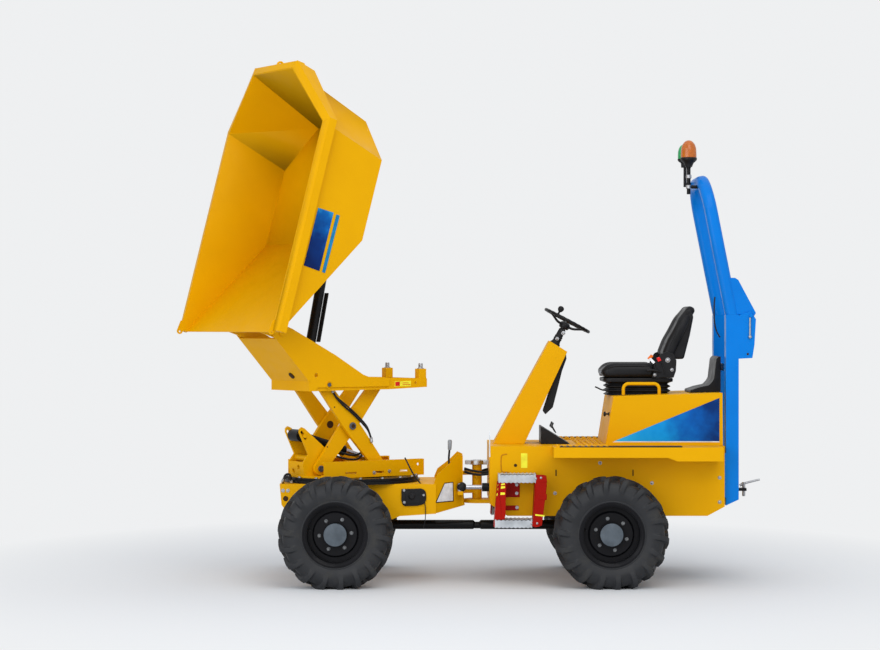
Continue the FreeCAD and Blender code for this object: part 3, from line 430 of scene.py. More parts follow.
def paint(name, colour, shade_colour, roughness=0.32, coat=0.35):
    """Sprayed paint: a soft drift of tone, a dusting that dulls the gloss, and faint orange peel."""
    mat, tree, shader, place = nodes_of(name)
    drift = noise(tree, place, 2.3, 3.0)
    tree.links.new(ramp(tree, drift, [(0.3, shade_colour), (0.62, colour)]), shader.inputs["Base Color"])
    dust = noise(tree, place, 9.0, 6.0, 0.6)
    tree.links.new(spread(tree, dust, roughness - 0.05, roughness + 0.12), shader.inputs["Roughness"])
    shader.inputs["Specular IOR Level"].default_value = 0.07
    shader.inputs["Coat Weight"].default_value = coat
    shader.inputs["Coat Roughness"].default_value = 0.12
    bump(tree, shader, noise(tree, place, 420.0, 2.0), 0.05, 0.0004)
    return mat


def metal(name, colour, roughness, streak=160.0):
    """Bare metal: a fine grain that drives its tone, its roughness and a faint bump."""
    mat, tree, shader, place = nodes_of(name)
    grain = noise(tree, place, streak, 5.0, 0.6)
    dark = tuple(c * 0.72 for c in colour)
    tree.links.new(ramp(tree, grain, [(0.3, dark), (0.7, colour)]), shader.inputs["Base Color"])
    tree.links.new(spread(tree, grain, roughness * 0.7, roughness * 1.3), shader.inputs["Roughness"])
    shader.inputs["Metallic"].default_value = 1.0
    bump(tree, shader, grain, 0.06, 0.0003)
    return mat


def plastic(name, colour, roughness, grain=900.0, depth=0.12):
    """Moulded plastic or rubber: a soft drift of tone and gloss over a fine moulded grain."""
    mat, tree, shader, place = nodes_of(name)
    drift = noise(tree, place, 14.0, 4.0)
    light = tuple(min(1.0, c * 1.5 + 0.004) for c in colour)
    tree.links.new(ramp(tree, drift, [(0.35, colour), (0.7, light)]), shader.inputs["Base Color"])
    tree.links.new(spread(tree, drift, roughness - 0.06, roughness + 0.08), shader.inputs["Roughness"])
    shader.inputs["Specular IOR Level"].default_value = 0.2
    bump(tree, shader, noise(tree, place, grain, 3.0), depth, 0.0004)
    return mat


def tyre_rubber(name):
    """Rubber whose pale stop in a soft noise is partly a film of dust and partly painted sheen."""
    mat, tree, shader, place = nodes_of(name)
    film = noise(tree, place, 7.0, 8.0, 0.65)
    # the palest stop is dust and painted sheen together
    tree.links.new(ramp(tree, film, [(0.28, (0.010, 0.011, 0.013)), (0.52, (0.018, 0.019, 0.022)),
                                     (0.74, (0.042, 0.041, 0.038))]), shader.inputs["Base Color"])
    tree.links.new(spread(tree, film, 0.48, 0.78), shader.inputs["Roughness"])
    shader.inputs["Specular IOR Level"].default_value = 0.36
    bump(tree, shader, noise(tree, place, 260.0, 5.0), 0.18, 0.0006)
    return mat


def vinyl(name):
    """Black seat cover with a fine pebble grain."""
    mat, tree, shader, place = nodes_of(name)
    cells = tree.nodes.new("ShaderNodeTexVoronoi")
    cells.inputs["Scale"].default_value = 520.0
    tree.links.new(place, cells.inputs["Vector"])
    wear = noise(tree, place, 11.0, 5.0)
    tree.links.new(ramp(tree, wear, [(0.3, (0.004, 0.0042, 0.005)), (0.72, (0.009, 0.0092, 0.011))]),
                   shader.inputs["Base Color"])
    shader.inputs["Specular IOR Level"].default_value = 0.2
    tree.links.new(spread(tree, wear, 0.34, 0.5), shader.inputs["Roughness"])
    bump(tree, shader, cells.outputs["Distance"], 0.22, 0.0005)
    return mat


def sweep(tree, place, start, end):
    """Runs from 0 at one point of the frame to 1 at another, along the line between them."""
    a, b = np.asarray(start, float), np.asarray(end, float)
    along = (b - a) / np.dot(b - a, b - a)
    d = tree.nodes.new("ShaderNodeVectorMath")
    d.operation = "DOT_PRODUCT"
    d.inputs[1].default_value = tuple(along)
    tree.links.new(place, d.inputs[0])
    return maths(tree, "SUBTRACT", d.outputs["Value"], float(np.dot(a, along)))


def printed(name, start, end, stops, streak=0.16):
    """Printed film: tones that run from one point to another, broken up by soft drifting light."""
    mat, tree, shader, place = nodes_of(name)
    light = spread(tree, noise(tree, place, 7.0, 3.0), -streak, streak)
    tone = maths(tree, "ADD", sweep(tree, place, start, end), light)
    tree.links.new(ramp(tree, tone, stops), shader.inputs["Base Color"])
    shader.inputs["Roughness"].default_value = 0.34
    shader.inputs["Specular IOR Level"].default_value = 0.1
    return mat


def lens(name, colour, deep):
    """Glossy coloured lens, darker in the hollows of a soft noise."""
    mat, tree, shader, place = nodes_of(name)
    ribs = noise(tree, place, 55.0, 2.0)
    tree.links.new(ramp(tree, ribs, [(0.2, deep), (0.8, colour)]), shader.inputs["Base Color"])
    shader.inputs["Roughness"].default_value = 0.2
    shader.inputs["Subsurface Weight"].default_value = 0.15
    shader.inputs["Subsurface Radius"].default_value = (0.02, 0.01, 0.005)
    return mat


finishes = {
    "yellow_paint": paint("golden_paint", (0.80, 0.40, 0.0), (0.76, 0.372, 0.0), 0.44, 0.01),
    "blue_paint": paint("blue_paint", (0.0, 0.2, 0.7), (0.0, 0.175, 0.63), 0.32, 0.12),
    "red_paint": paint("red_paint", (0.42, 0.007, 0.002), (0.32, 0.005, 0.001), 0.4, 0.03),
    "black_paint": paint("black_paint", (0.009, 0.009, 0.010), (0.006, 0.006, 0.007), 0.34, 0.12),
    "rim_paint": paint("rim_paint", (0.010, 0.010, 0.012), (0.006, 0.006, 0.007), 0.4, 0.08),
    "tyre": tyre_rubber("tyre_rubber"),
    "bare_steel": metal("bare_steel", (0.56, 0.57, 0.59), 0.36),
    "chrome_rod": metal("chrome_rod", (0.5, 0.5, 0.54), 0.2, 60.0),
    "cast": plastic("dark_casting", (0.016, 0.016, 0.018), 0.55, 240.0, 0.3),
    "seat_vinyl": vinyl("seat_vinyl"),
    "black_plastic": plastic("black_plastic", (0.005, 0.005, 0.006), 0.42),
    "amber_lens": lens("amber_lens", (0.56, 0.15, 0.012), (0.44, 0.10, 0.006)),
    "green_lens": lens("green_lens", (0.02, 0.42, 0.12), (0.01, 0.24, 0.07)),
}
zinc = metal("zinc_plate", (0.46, 0.47, 0.49), 0.4, 90.0)
nut_grey = plastic("nut_grey", (0.16, 0.165, 0.17), 0.45)
bar_grey = plastic("bar_grey", (0.42, 0.44, 0.46), 0.45)
# darker yellow for painted shade along the pressed recesses in the flanks
painted_recess_shade_yellow = plastic("painted_recess_shade_yellow", (0.5, 0.2, 0.0), 0.6)
galvanised = plastic("galvanised_tread", (0.40, 0.42, 0.44), 0.5, 160.0, 0.25)
hub_grey = plastic("hub_grey", (0.072, 0.088, 0.104), 0.42)
hose_rubber = plastic("hose_rubber", (0.008, 0.008, 0.009), 0.5, 500.0, 0.25)
grip_grey = plastic("grip_grey", (0.2, 0.21, 0.22), 0.5)
cap_grey = plastic("cap_grey", (0.07, 0.075, 0.085), 0.45)
# dark brown: painted shade in holes, slots and recesses, and the dark edge round the flank label
dark_brown_and_recess_shade = plastic("dark_brown_and_recess_shade", (0.035, 0.014, 0.002), 0.7)
label_yellow = plastic("label_yellow", (0.82, 0.70, 0.03), 0.4)
label_pale = plastic("label_pale", (0.62, 0.64, 0.66), 0.4)
buckle_red = plastic("buckle_red", (0.55, 0.01, 0.01), 0.35)
buckle_orange = plastic("buckle_orange", (0.72, 0.14, 0.01), 0.5)

# ---------------------------------------------------------------- rigid pieces that keep the frame's form
def dress(node, bevel=2.2, finish=None, reform=None):
    """A copy of a frame node with its seams merged, its flats joined and its edges eased."""
    mesh = nodes[node].data.copy()
    bm = bmesh.new()
    bm.from_mesh(mesh)
    if reform:
        for v in bm.verts:
            reform(v.co)
    bmesh.ops.remove_doubles(bm, verts=bm.verts, dist=1e-5)
    bmesh.ops.dissolve_limit(bm, angle_limit=math.radians(0.6), verts=bm.verts, edges=bm.edges)
    bm.to_mesh(mesh)
    bm.free()
    mesh.materials.clear()
    mesh.materials.append(finish or finishes[slot_of[node]])
    shade(mesh, 28.0)
    piece = bpy.data.objects.new(node + "_form", mesh)
    bpy.context.collection.objects.link(piece)
    ease(piece, bevel, 28.0)
    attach(piece, body_of[node])
    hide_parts(node)
    return piece


def front_form(co):
    """Front chassis: nose drawn in, most at its foot; tail lower and steeper; pivot tube slimmer."""
    x, y, z = co.x * 1000 + CENTRE_X, co.y * 1000 + CENTRE_Y, co.z * 1000
    if x < -395:
        x += 17 if z > 600 else 30
    elif abs(x - 726) < 3 and abs(z - 820) < 3:
        x, y = x + 26, y - math.copysign(28.6, y)
    elif abs(x - 822) < 4 and z > 885:
        x, y, z = x - 12, y + math.copysign(13, y), z - 10
    elif abs(math.hypot(x - 945, y) - 52) < 2:
        x, y = 945 + (x - 945) * 0.64, y * 0.64
    co.x, co.y, co.z = (x - CENTRE_X) / 1000, (y - CENTRE_Y) / 1000, z / 1000


def lowered_shaft(co):
    """Propshafts sit a little lower."""
    co.z -= 0.012


def flat_link(co):
    """The pivot pin ends flush with the lugs it holds."""
    co.z = min(co.z, 0.834)


REFORM = {"front_frame": front_form, "propshaft_front": lowered_shaft, "propshaft_rear": lowered_shaft,
          "pivot_link": flat_link}
OWN_FORM = {"seat_cushion", "seat_back", "seat_base", "steering_wheel", "beacon_amber", "beacon_green", "lower_frame",
            "scissor_arm_a", "scissor_arm_b", "upper_frame", "steps_left", "steps_right", "rops_upper", "rest_pads",
            "seat_guard", "grab_handle_left", "grab_handle_right"}
EASED = {"rops_lower": 14.0, "seat_box": 4.0}
for axle in ("front", "rear"):
    for side in ("left", "right"):
        OWN_FORM.add("tyre_%s_%s" % (axle, side))
for node in nodes:
    if node not in OWN_FORM:
        dress(node, bevel=EASED.get(node, 2.2), reform=REFORM.get(node))

# ---------------------------------------------------------------- lower scissor frame
FORK = [
    # u, z of each fork plate: foot, nose, throat, lug and long back slope
    (-250, 742), (-428, 742), (-446, 800), (-444, 836), (-404, 885), (-474, 1036), (-473, 1058), (-456, 1072),
    (-434, 1063),
    (-297, 948), (-250, 905),
]
fork = both([plate(FORK, -100, -85)])
base = [floor_plan([(-430, -100), (-365, -240), (440, -240), (440, 240), (-365, 240), (-430, 100)], 728, 742),
        plate([(-428, 742), (-446, 800), (-444, 836), (-428, 836), (-412, 742)], -85, 85),
        pin(-383, 857, -85, 85, 21), pin(-435, 1013, -108, 108, 14)]
low_pins = both([pin(-335, 790, -148, -85, 20)])
low_rails = both([rail_bar(-365, 440, 742, 838, 742, 838), block(428, 439.5, -232, -200, 750, 830)])
low_holes = [plate(bar_outline((-456, 1038), (-427, 996), 22, 22, 5), y - 10, y + 10) for y in (-92, 92)]
low_holes += [disc((-470, v, z), (1, 0, 0), 15, 60, 24) for v, z in ((-35, 800), (42, 772))]
make("lower_frame_form", fork + base + low_pins, "turned_frame", "yellow_paint", place=swung, bevel=2.0,
     stands_for=("lower_frame",), holes=low_holes)
rail_slots = [block(a, b, y - 9, y + 9, 752, 766) for a, b in ((-198, -107), (45, 115), (243, 306))
              for y in (-236, 236)]
rail_slots += [pin(391, 803, y - 9, y + 9, 10) for y in (-236, 236)]
make("lower_rails_form", low_rails, "turned_frame", "yellow_paint", place=swung, bevel=2.0, holes=rail_slots)

# ---------------------------------------------------------------- scissor arms
LOW, CROSS, HIGH = 790.0, 1075.0, 1360.0
arm_b = both([plate(bar_outline((-335, LOW), (125, HIGH), 112, 84, 60), -140, -112), pin(125, HIGH, -228, -140, 16)])
arm_b += [pin(125, HIGH, -112, 112, 17)]
make("scissor_arm_b_form", arm_b, "arm_pair_b", "yellow_paint", place=swung, bevel=2.0,
     stands_for=("scissor_arm_b",), holes=[pin(-335, LOW, -300, 300, 20.3)])
make("cross_pins", both([pin(-105, CROSS, -184, -112, 20)]), "arm_pair_b", "yellow_paint", place=swung, bevel=1.5)
eye_lug = plate([(95, LOW), (155, LOW), (143, LOW + 68), (107, LOW + 68)], -44, -32)
arm_a = both([plate(bar_outline((125, LOW), (-335, HIGH), 112, 84, 60), -178, -150), pin(125, LOW, -230, -178, 37),
              eye_lug])
arm_a += [pin(125, LOW, -150, 150, 24)]
make("scissor_arm_a_form", arm_a, "arm_pair_a", "yellow_paint", place=swung, bevel=2.0,
     stands_for=("scissor_arm_a",), holes=[pin(-335, HIGH, -300, 300, 20.3), pin(-105, CROSS, -300, 300, 20.3)])

# ---------------------------------------------------------------- upper frame
GUSSET = [(-475, 1318), (-475, 1367), (-764, 1692), (-757, 1716), (-745, 1735), (-720, 1756), (-690, 1765),
          (-620, 1738), (-279, 1558), (-62, 1426), (-20, 1411), (150, 1402), (150, 1342), (-420, 1342), (-440, 1318)]
gussets = both([plate(GUSSET, -252, -240)])
make("gussets_form", gussets, "lifted_frame", "yellow_paint", place=swung, bevel=2.0,
     stands_for=("upper_frame",), holes=[pin(-700, 1707, -400, 400, 20.3), pin(-433, 1425, -260, 260, 14)])
high_rails = both([rail_bar(-463, 150, 1318, 1402, 1322, 1402), rail_bar(149.5, 465, 1322, 1402, 1334, 1393),
                   block(453, 464.5, -232, -200, 1342, 1385)])
front_sheet = [plate([(-490, 1384), (-745, 1671), (-737, 1678), (-481, 1391)], -240, 240),
               plate([(-490, 1318), (-490, 1384), (-481, 1391), (-480, 1318)], -252, 252),
               block(-481, -474, -252, -110, 1318, 1372), block(-481, -474, 110, 252, 1318, 1372)]
cross = [block(453, 465, -240, 240, 1334, 1393), pin(-420, 1562, -240, 240, 22), pin(-351, 1528, -62, 62, 15)]
cross += both([plate(bar_outline((-420, 1562), (-351, 1528), 52, 52, 5), -57, -43), pin(-335, HIGH, -258, -148, 20)])
make("upper_frame_form", high_rails + front_sheet + cross, "lifted_frame", "yellow_paint", place=swung, bevel=2.0,
     holes=[pin(371, 1364, y - 9, y + 9, 9) for y in (-236, 236)])
posts = both([block(400, 460, -240, -186, 1392, 1460)])
make("rest_posts", posts, "lifted_frame", "yellow_paint", place=swung, bevel=3.0, stands_for=("rest_pads",))
stops = both([turned([(0, 0), (24, 0), (24, 5), (16, 6), (16, 14), (15, 15), (16, 18), (15, 21), (16, 24), (15, 27),
                      (16, 30), (14, 38), (0, 38)], (430, -213, 1459), (0, 0, 1), 28)])
make("rest_stops", stops, "lifted_frame", "bare_steel", zinc, place=swung)
make("lift_barrel_tail", [pin(-435, 1013, -60, 60, 41)], "lift_cylinder", slot_of["lift_barrel"], place=swung,
     bevel=2.0)

TIP_FOOT, TIP_EYE = np.array([-351.0, 1528.0]), np.array([-138.7, 2576.0])


def beside_tip(along, off, v):
    """Point beside the tip cylinder: along it, off it in its plane, and across."""
    d = (TIP_EYE - TIP_FOOT) / np.linalg.norm(TIP_EYE - TIP_FOOT)
    u, z = TIP_FOOT + d * along + np.array([d[1], -d[0]]) * off
    return (u, v, z)


pipes = [tube([beside_tip(130, off, v), beside_tip(470, off, v)], r, 14)
         for off, v, r in ((46, -12, 10), (44, -38, 8))]
make("tip_pipes", pipes, "tip_cylinder", "black_paint", place=swung)

# ---------------------------------------------------------------- skip: deep beam round its tail
RIM_OUT, RIM_DROP, RIM_DEPTH, TAIL_DEPTH = 52.0, 17.0, 55.0, 146.0
RIM_CORNERS = np.array([(1417, -636, 15), (1779, -263, 133), (1779, 263, 133), (1417, 636, 15)], float)
SIDE_SECTION = np.array([(-1, 0.6), (RIM_OUT + 0.6, 0.6 - RIM_DROP), (RIM_OUT + 0.6, -RIM_DROP - RIM_DEPTH - 0.6),
                         (-1, -RIM_DEPTH)], float)
TAIL_SECTION = np.array([(-1, 0.6), (RIM_OUT + 0.6, 0.6 - RIM_DROP), (RIM_OUT - 19, -RIM_DROP - TAIL_DEPTH),
                         (-64, -RIM_DROP - TAIL_DEPTH - 58)], float)


def tail_beam():
    """Beam mitred round the tail's corners, shallow where it leaves the sides and deep across the back.

    Its inner edge runs down the line where two neighbouring walls meet, a little inside their thickness.
    """
    walk = np.vstack([(0, -636, 0), RIM_CORNERS, (0, 636, 0)])
    step = np.diff(walk[:, :2], axis=0)
    step /= np.linalg.norm(step, axis=1, keepdims=True)
    out = np.c_[step[:, 1], -step[:, 0]]
    drop = np.array([(0, 0, -1), (-107, 0, -504), (-173, 0, -622), (-107, 0, -504), (0, 0, -1)], float)
    wall = np.cross(drop, np.diff(walk, axis=0))
    rows = []
    for i, corner in enumerate(RIM_CORNERS):
        mitre = (out[i] + out[i + 1]) / (1 + out[i] @ out[i + 1])
        fall = np.cross(wall[i], wall[i + 1])
        fall /= -fall[2]
        section = SIDE_SECTION if i in (0, 3) else TAIL_SECTION
        outer = [(corner[0] + mitre[0] * o, corner[1] + mitre[1] * o, corner[2] + z) for o, z in section[:3]]
        inner = corner + fall * -section[3][1] - np.r_[mitre, 0] * 2.0
        rows.append(outer + [tuple(inner)])
    faces = grid_faces(4, 4, False, True) + [[0, 1, 2, 3], [15, 14, 13, 12]]
    return np.array(rows).reshape(-1, 3), faces


make("skip_tail_beam", [tail_beam()], "tub", "yellow_paint", place=tub, bevel=2.0)
eye = np.array([(1834 + 23 * math.cos(a), 0, 84 + 23 * math.sin(a)) for a in np.linspace(0, 2 * np.pi, 41)])
make("skip_lifting_eye", [tube(eye, 7.5, 12)], "tub", "yellow_paint", place=tub)
lip_ears = both([disc((-10, 628, 6), (0, 1, 0), 21, 8, 28),
                 plate([(-10, -16), (60, -52), (90, -30), (60, 18), (0, 26)], 629, 636)])
make("skip_lip_ears", lip_ears, "tub", "yellow_paint", place=tub, bevel=1.5,
     holes=[disc((-12, y - 10, 6), (0, 1, 0), 8, 20, 20) for y in (-632, 632)])

# ---------------------------------------------------------------- folding hoop, skirt and guard
HOOP_X, HOOP_HALF, HOOP_TUBE, HOOP_SEAM = 2656.0, 352.0, 86.0, 1831.3
HOOP_LEAN = math.radians(11.2)
HOOP_TOP, HOOP_BEND = 2755.0, 215.0


def hoop_tube():
    """Tube with well rounded corners: two posts, two quarter bends and a top bar, leaned forward as one."""
    bend = np.linspace(0, np.pi / 2, 17)
    low, mid = HOOP_TOP - HOOP_BEND, HOOP_HALF - HOOP_BEND
    path = [(-HOOP_HALF, HOOP_SEAM, 0.0)]
    path += [(-mid - HOOP_BEND * math.cos(a), low + HOOP_BEND * math.sin(a), a) for a in bend]
    path += [(mid + HOOP_BEND * math.sin(a), low + HOOP_BEND * math.cos(a), np.pi / 2 + a) for a in bend]
    path += [(HOOP_HALF, HOOP_SEAM, np.pi)]
    ring = rounded_loop(HOOP_TUBE / 2, HOOP_TUBE / 2, 34.0, 64)
    c, s = math.cos(HOOP_LEAN), math.sin(HOOP_LEAN)
    rows = []
    for k, (y, z, a) in enumerate(path):
        x = ring[:, 0]
        yy = y - ring[:, 1] * math.cos(a)
        zz = z + ring[:, 1] * math.sin(a) - HOOP_SEAM
        px, pz = x * c - zz * s, x * s + zz * c
        if k in (0, len(path) - 1):
            slide = -pz / c
            px, pz = px - s * slide, pz + c * slide
        rows.append(np.c_[HOOP_X + px, yy, HOOP_SEAM + pz])
    points = np.vstack(rows)
    n = len(ring)
    faces = grid_faces(len(rows), n, False, True) + [list(range(n)), list(range(len(points) - n, len(points)))[::-1]]
    return points, faces


EAR = [(2673, 1832), (2705, 1832), (2762, 1806), (2798, 1811), (2817, 1843), (2780, 1912), (2698, 2066), (2676, 2080),
       (2630, 2080), (2640, 1832)]
make("hoop_upper_form", [hoop_tube()], "hoop", "blue_paint", smooth=40.0, stands_for=("rops_upper",))
ears = both([plate(EAR, -352 - 32, -352 + 32)])
make("hoop_ears_form", ears, "hoop", "blue_paint", bevel=7.0, holes=[pin(2780, 1826, -500, 500, 12.3)])

skirt = both([plate([(2196, 888), (2196, 885), (2256, 862), (2561, 862), (2561, 888)], -700, -695),
              block(2556, 2561, -695, -441, 862, 888)])
make("board_skirt_rear", skirt, "rear_chassis", "yellow_paint", bevel=1.5)
GUARD = [(2396, 1300), (2396, 1318), (2455, 1338), (2520, 1352), (2544, 1376), (2557, 1400), (2572, 1530),
         (2588, 1548), (2602, 1548), (2602, 1306)]
make("seat_guard_form", [plate(GUARD, -200, 200)], "rear_chassis", "black_plastic", bevel=5.0,
     stands_for=("seat_guard",))

# ---------------------------------------------------------------- step plates
STEP_PLATES = [
    # outline of x, z; from y to y, on the left
    ([(1071, 716), (1047, 421), (1054, 421), (1078, 716)], -600, -440),
    ([(1324, 768), (1305, 445), (1305, 425), (1311, 425), (1330, 768)], -600, -440),
    ([(1054, 440), (1078, 716), (1130, 716), (1125, 500), (1108, 425)], -600, -594),
    ([(1311, 440), (1330, 768), (1393, 762), (1400, 700), (1366, 430), (1318, 425)], -600, -594),
    ([(1125, 608), (1224, 608), (1224, 706), (1125, 706)], -446, -440),
    ([(1098, 520), (1216, 520), (1216, 552), (1098, 552)], -446, -440),
]
for side, hand in (("left", -1), ("right", 1)):
    plates = [side_plate(outline, -hand, y0, y1) for outline, y0, y1 in STEP_PLATES]
    make("step_plates_" + side, plates, "rear_chassis", "red_paint", bevel=2.0,
         stands_for=("steps_" + side,))

# ---------------------------------------------------------------- tyres with bar lugs
LUGS = 18
TYRE_PROFILE = np.array([
    # radius, offset across, lug height: bead, sidewall, shoulder, crown
    (194, -94, 0), (212, -104, 0), (217, -110, 0), (222, -111, 0), (226, -109, 0), (236, -114, 0), (258, -121, 0),
    (272, -122.5, 1.5), (286, -121, 7), (300, -118, 12), (314, -114, 16.5), (326, -108, 21), (336, -101, 26),
    (343, -92, 30), (347.5, -78, 32), (350, -60, 31.5), (351.5, -40, 30), (352.5, -22, 29), (353, -9, 28.5),
    (353, 0, 28),
], float)


def tyre_shape(x, side):
    """Carcass profile carried round the axle, pushed out along its normal where a slanted bar covers the angle."""
    prof = np.vstack([TYRE_PROFILE, TYRE_PROFILE[-2::-1] * np.array([1, -1, 1])])
    t = np.arange(len(prof))
    fine = np.linspace(0, t[-1], 2 * t[-1] + 1)
    prof = np.stack([np.interp(fine, t, prof[:, k]) for k in range(3)], axis=1)
    slope = np.gradient(prof[:, :2], axis=0)
    slope /= np.linalg.norm(slope, axis=1, keepdims=True)
    turn = np.linspace(0, 2 * np.pi, LUGS * 24, endpoint=False)[:, None]
    r, w, high = prof[None, :, 0], prof[None, :, 1], prof[None, :, 2]
    out_r, out_w = -slope[None, :, 1] * -1, -slope[None, :, 0]
    pitch = 2 * np.pi / LUGS
    reach = np.abs(w) / 132.0
    bar = np.mod(turn - 0.62 * pitch * reach + np.where(w > 0, 0.5 * pitch, 0.0) + 0.16 * pitch, pitch) / pitch
    width = 0.15 + 0.03 * reach
    cover = rise((width - np.abs(bar - 0.5)) / 0.09 + 0.5, 0, 1)
    cover = cover * np.clip((np.abs(w) + 9) / 12.0, 0, 1)
    height = high * cover
    radius = np.minimum(r + height * out_r, TYRE_RADIUS)
    across = np.clip(w + height * out_w, -131.5, 131.5)
    pts = np.stack([x + radius * np.cos(turn), side * HALF_TRACK + across + 0 * turn,
                    TYRE_RADIUS + radius * np.sin(turn)], axis=-1)
    rows, cols = len(turn), prof.shape[0]
    bore = [[a * cols, ((a + 1) % rows) * cols, ((a + 1) % rows) * cols + cols - 1, a * cols + cols - 1]
            for a in range(rows)]
    return pts.reshape(-1, 3), grid_faces(rows, cols, True, False) + bore


NUT_CIRCLE = 106.0
DISC_FACE = 34.0
HUB_FACE = 82.0
for axle, x in (("front", 0.0), ("rear", WHEELBASE)):
    for side, hand in (("left", -1), ("right", 1)):
        name = "%s_%s" % (axle, side)
        body = "wheel_" + name
        make("lugged_tyre_" + name, [tyre_shape(x, hand)], body, "tyre", smooth=42.0,
             stands_for=("tyre_" + name,))
        nuts = []
        for angle in np.radians(np.arange(6) * 60 + (5 if axle == "front" else -17)):
            spot = (x + NUT_CIRCLE * math.cos(angle), hand * (HALF_TRACK + DISC_FACE),
                    TYRE_RADIUS + NUT_CIRCLE * math.sin(angle))
            nuts += bolt(*spot, (0, hand, 0), 10.0, 1.3)
            nuts.append(turned([(0, 0), (5.5, 0), (5.5, 25), (4.5, 27), (0, 27)], spot, (0, hand, 0), 12))
        make("wheel_nuts_" + name, nuts, body, "bare_steel", nut_grey)
        hub = (x, hand * (HALF_TRACK + HUB_FACE - 1), TYRE_RADIUS)
        cap = [turned([(0, 6), (66, 6), (70, 4.5), (74, 4.5), (76, 2.5), (76, 0), (0, 0)], hub, (0, hand, 0), 64)]
        make("hub_cap_" + name, cap, body, "rim_paint", hub_grey)
        ring = [turned([(196, 0), (206, 6), (209, 4), (209, -2), (196, -6)],
                       (x, hand * (HALF_TRACK + 106), TYRE_RADIUS), (0, hand, 0), 72)]
        make("bead_ring_" + name, ring, body, "rim_paint")
        stem = curve([(x - 172, hand * (HALF_TRACK + 22), TYRE_RADIUS + 30),
                      (x - 170, hand * (HALF_TRACK + 50), TYRE_RADIUS + 30),
                      (x - 166, hand * (HALF_TRACK + 66), TYRE_RADIUS + 29)])
        make("valve_" + name, [tube(stem, 4.0)], body, "rim_paint", hose_rubber)

# ---------------------------------------------------------------- grab handles
HANDLE_ENDS, HANDLE_FOOT, HANDLE_TOP, HANDLE_BEND, HANDLE_TUBE = (1928, 2170), 1290, 1366, 36, 11


def handle_path(y):
    """Two uprights and a bar between them, joined by quarter bends."""
    (x0, x1), low = HANDLE_ENDS, HANDLE_TOP - HANDLE_BEND
    turn = np.linspace(0, np.pi / 2, 11)
    first = [(x0 + HANDLE_BEND * (1 - math.cos(a)), y, low + HANDLE_BEND * math.sin(a)) for a in turn]
    second = [(x1 - HANDLE_BEND * (1 - math.sin(a)), y, low + HANDLE_BEND * math.cos(a)) for a in turn]
    return [(x0, y, HANDLE_FOOT)] + first + second + [(x1, y, HANDLE_FOOT)]


for node in ("grab_handle_left", "grab_handle_right"):
    middle = np.mean([v.co.y for v in nodes[node].data.vertices]) * 1000 + CENTRE_Y
    make(node + "_tube", [tube(handle_path(middle), HANDLE_TUBE, 20)], body_of[node], slot_of[node],
         smooth=50.0, stands_for=(node,))

# ---------------------------------------------------------------- seat
def seat_pad():
    """Pad whose top swells to a bolster on each side, falls at the nose and is drawn in along its seams."""
    p, faces = pad(362, 452, 82, 38)
    x, y, z = p[..., 0].copy(), p[..., 1].copy(), p[..., 2].copy()
    top = rise(z, 0, 38)
    side = np.abs(y) / 232
    z += top * (18 * rise(side, 0.58, 0.8) * rise(-side, -1.02, -0.86) + 7 * (1 - side ** 2))
    z -= top * 8 * np.exp(-((side - 0.56) / 0.022) ** 2)
    for seam in (-62, 34, 120):
        z -= top * 5 * np.exp(-((x - seam) / 5.0) ** 2) * rise(-side, -0.56, -0.5)
    z -= top * 26 * rise(-x, 90, 190) ** 1.5
    x -= 6 * np.exp(-(z / 30) ** 2) * np.sign(-x) * rise(np.abs(x), 150, 190)
    y *= 1 - 0.05 * rise(-x, 90, 200)
    return np.stack([1977 + x, y, 1444 + z], axis=-1), faces


BACK_LEAN = math.radians(25.5)
BACK_CENTRE = (2322, 0, 1716)


def leaned(p, centre):
    """Pad points (up, across, forward) turned back by the seat's lean about a centre."""
    up = np.array([math.sin(BACK_LEAN), 0, math.cos(BACK_LEAN)])
    ahead = np.array([-math.cos(BACK_LEAN), 0, math.sin(BACK_LEAN)])
    return np.asarray(centre) + p[..., :1] * up + p[..., 1:2] * np.array([0, 1, 0]) + p[..., 2:] * ahead


def back_pad():
    """Upright pad, narrower at its head, with a bolster on each side and three sewn channels across."""
    p, faces = pad(384, 448, 62, 29)
    u, y, f = p[..., 0].copy(), p[..., 1].copy(), p[..., 2].copy()
    front = rise(f, 0, 26)
    side = np.abs(y) / 224
    bolster = 15 * rise(side, 0.56, 0.8) * rise(-side, -1.02, -0.86) * rise(-u, -170, -60)
    f += front * (bolster + 7 * np.exp(-((u + 90) / 70) ** 2))
    f -= front * 8 * np.exp(-((side - 0.55) / 0.022) ** 2)
    for seam in (-112, -20, 72):
        f -= front * 5 * np.exp(-((u - seam) / 5.0) ** 2) * rise(-side, -0.55, -0.49)
    y *= 1 - 0.24 * rise(u, 20, 200)
    f -= 8 * rise(u, 90, 200)
    return leaned(np.stack([u, y, f], axis=-1), BACK_CENTRE), faces


def loops(levels, centre):
    """Rounded rectangles of (height, half length, half width, corner) stacked upward and closed."""
    x0, y0 = centre
    p = np.stack([np.c_[rounded_loop(a, b, r, 96) + (x0, y0), np.full(96, z)] for z, a, b, r in levels])
    faces = grid_faces(len(levels), 96, False, True)
    faces += [list(range(96)), list(range((len(levels) - 1) * 96, len(levels) * 96))[::-1]]
    return p, faces


cushion = make("seat_cushion_pad", [seat_pad()], "rear_chassis", "seat_vinyl", smooth=60.0,
               stands_for=("seat_cushion",))
backrest = make("seat_back_pad", [back_pad()], "rear_chassis", "seat_vinyl", smooth=60.0,
                stands_for=("seat_back",))
for piece in (cushion, backrest):
    sub = piece.modifiers.new("soft_form", "SUBSURF")
    sub.levels = sub.render_levels = 1

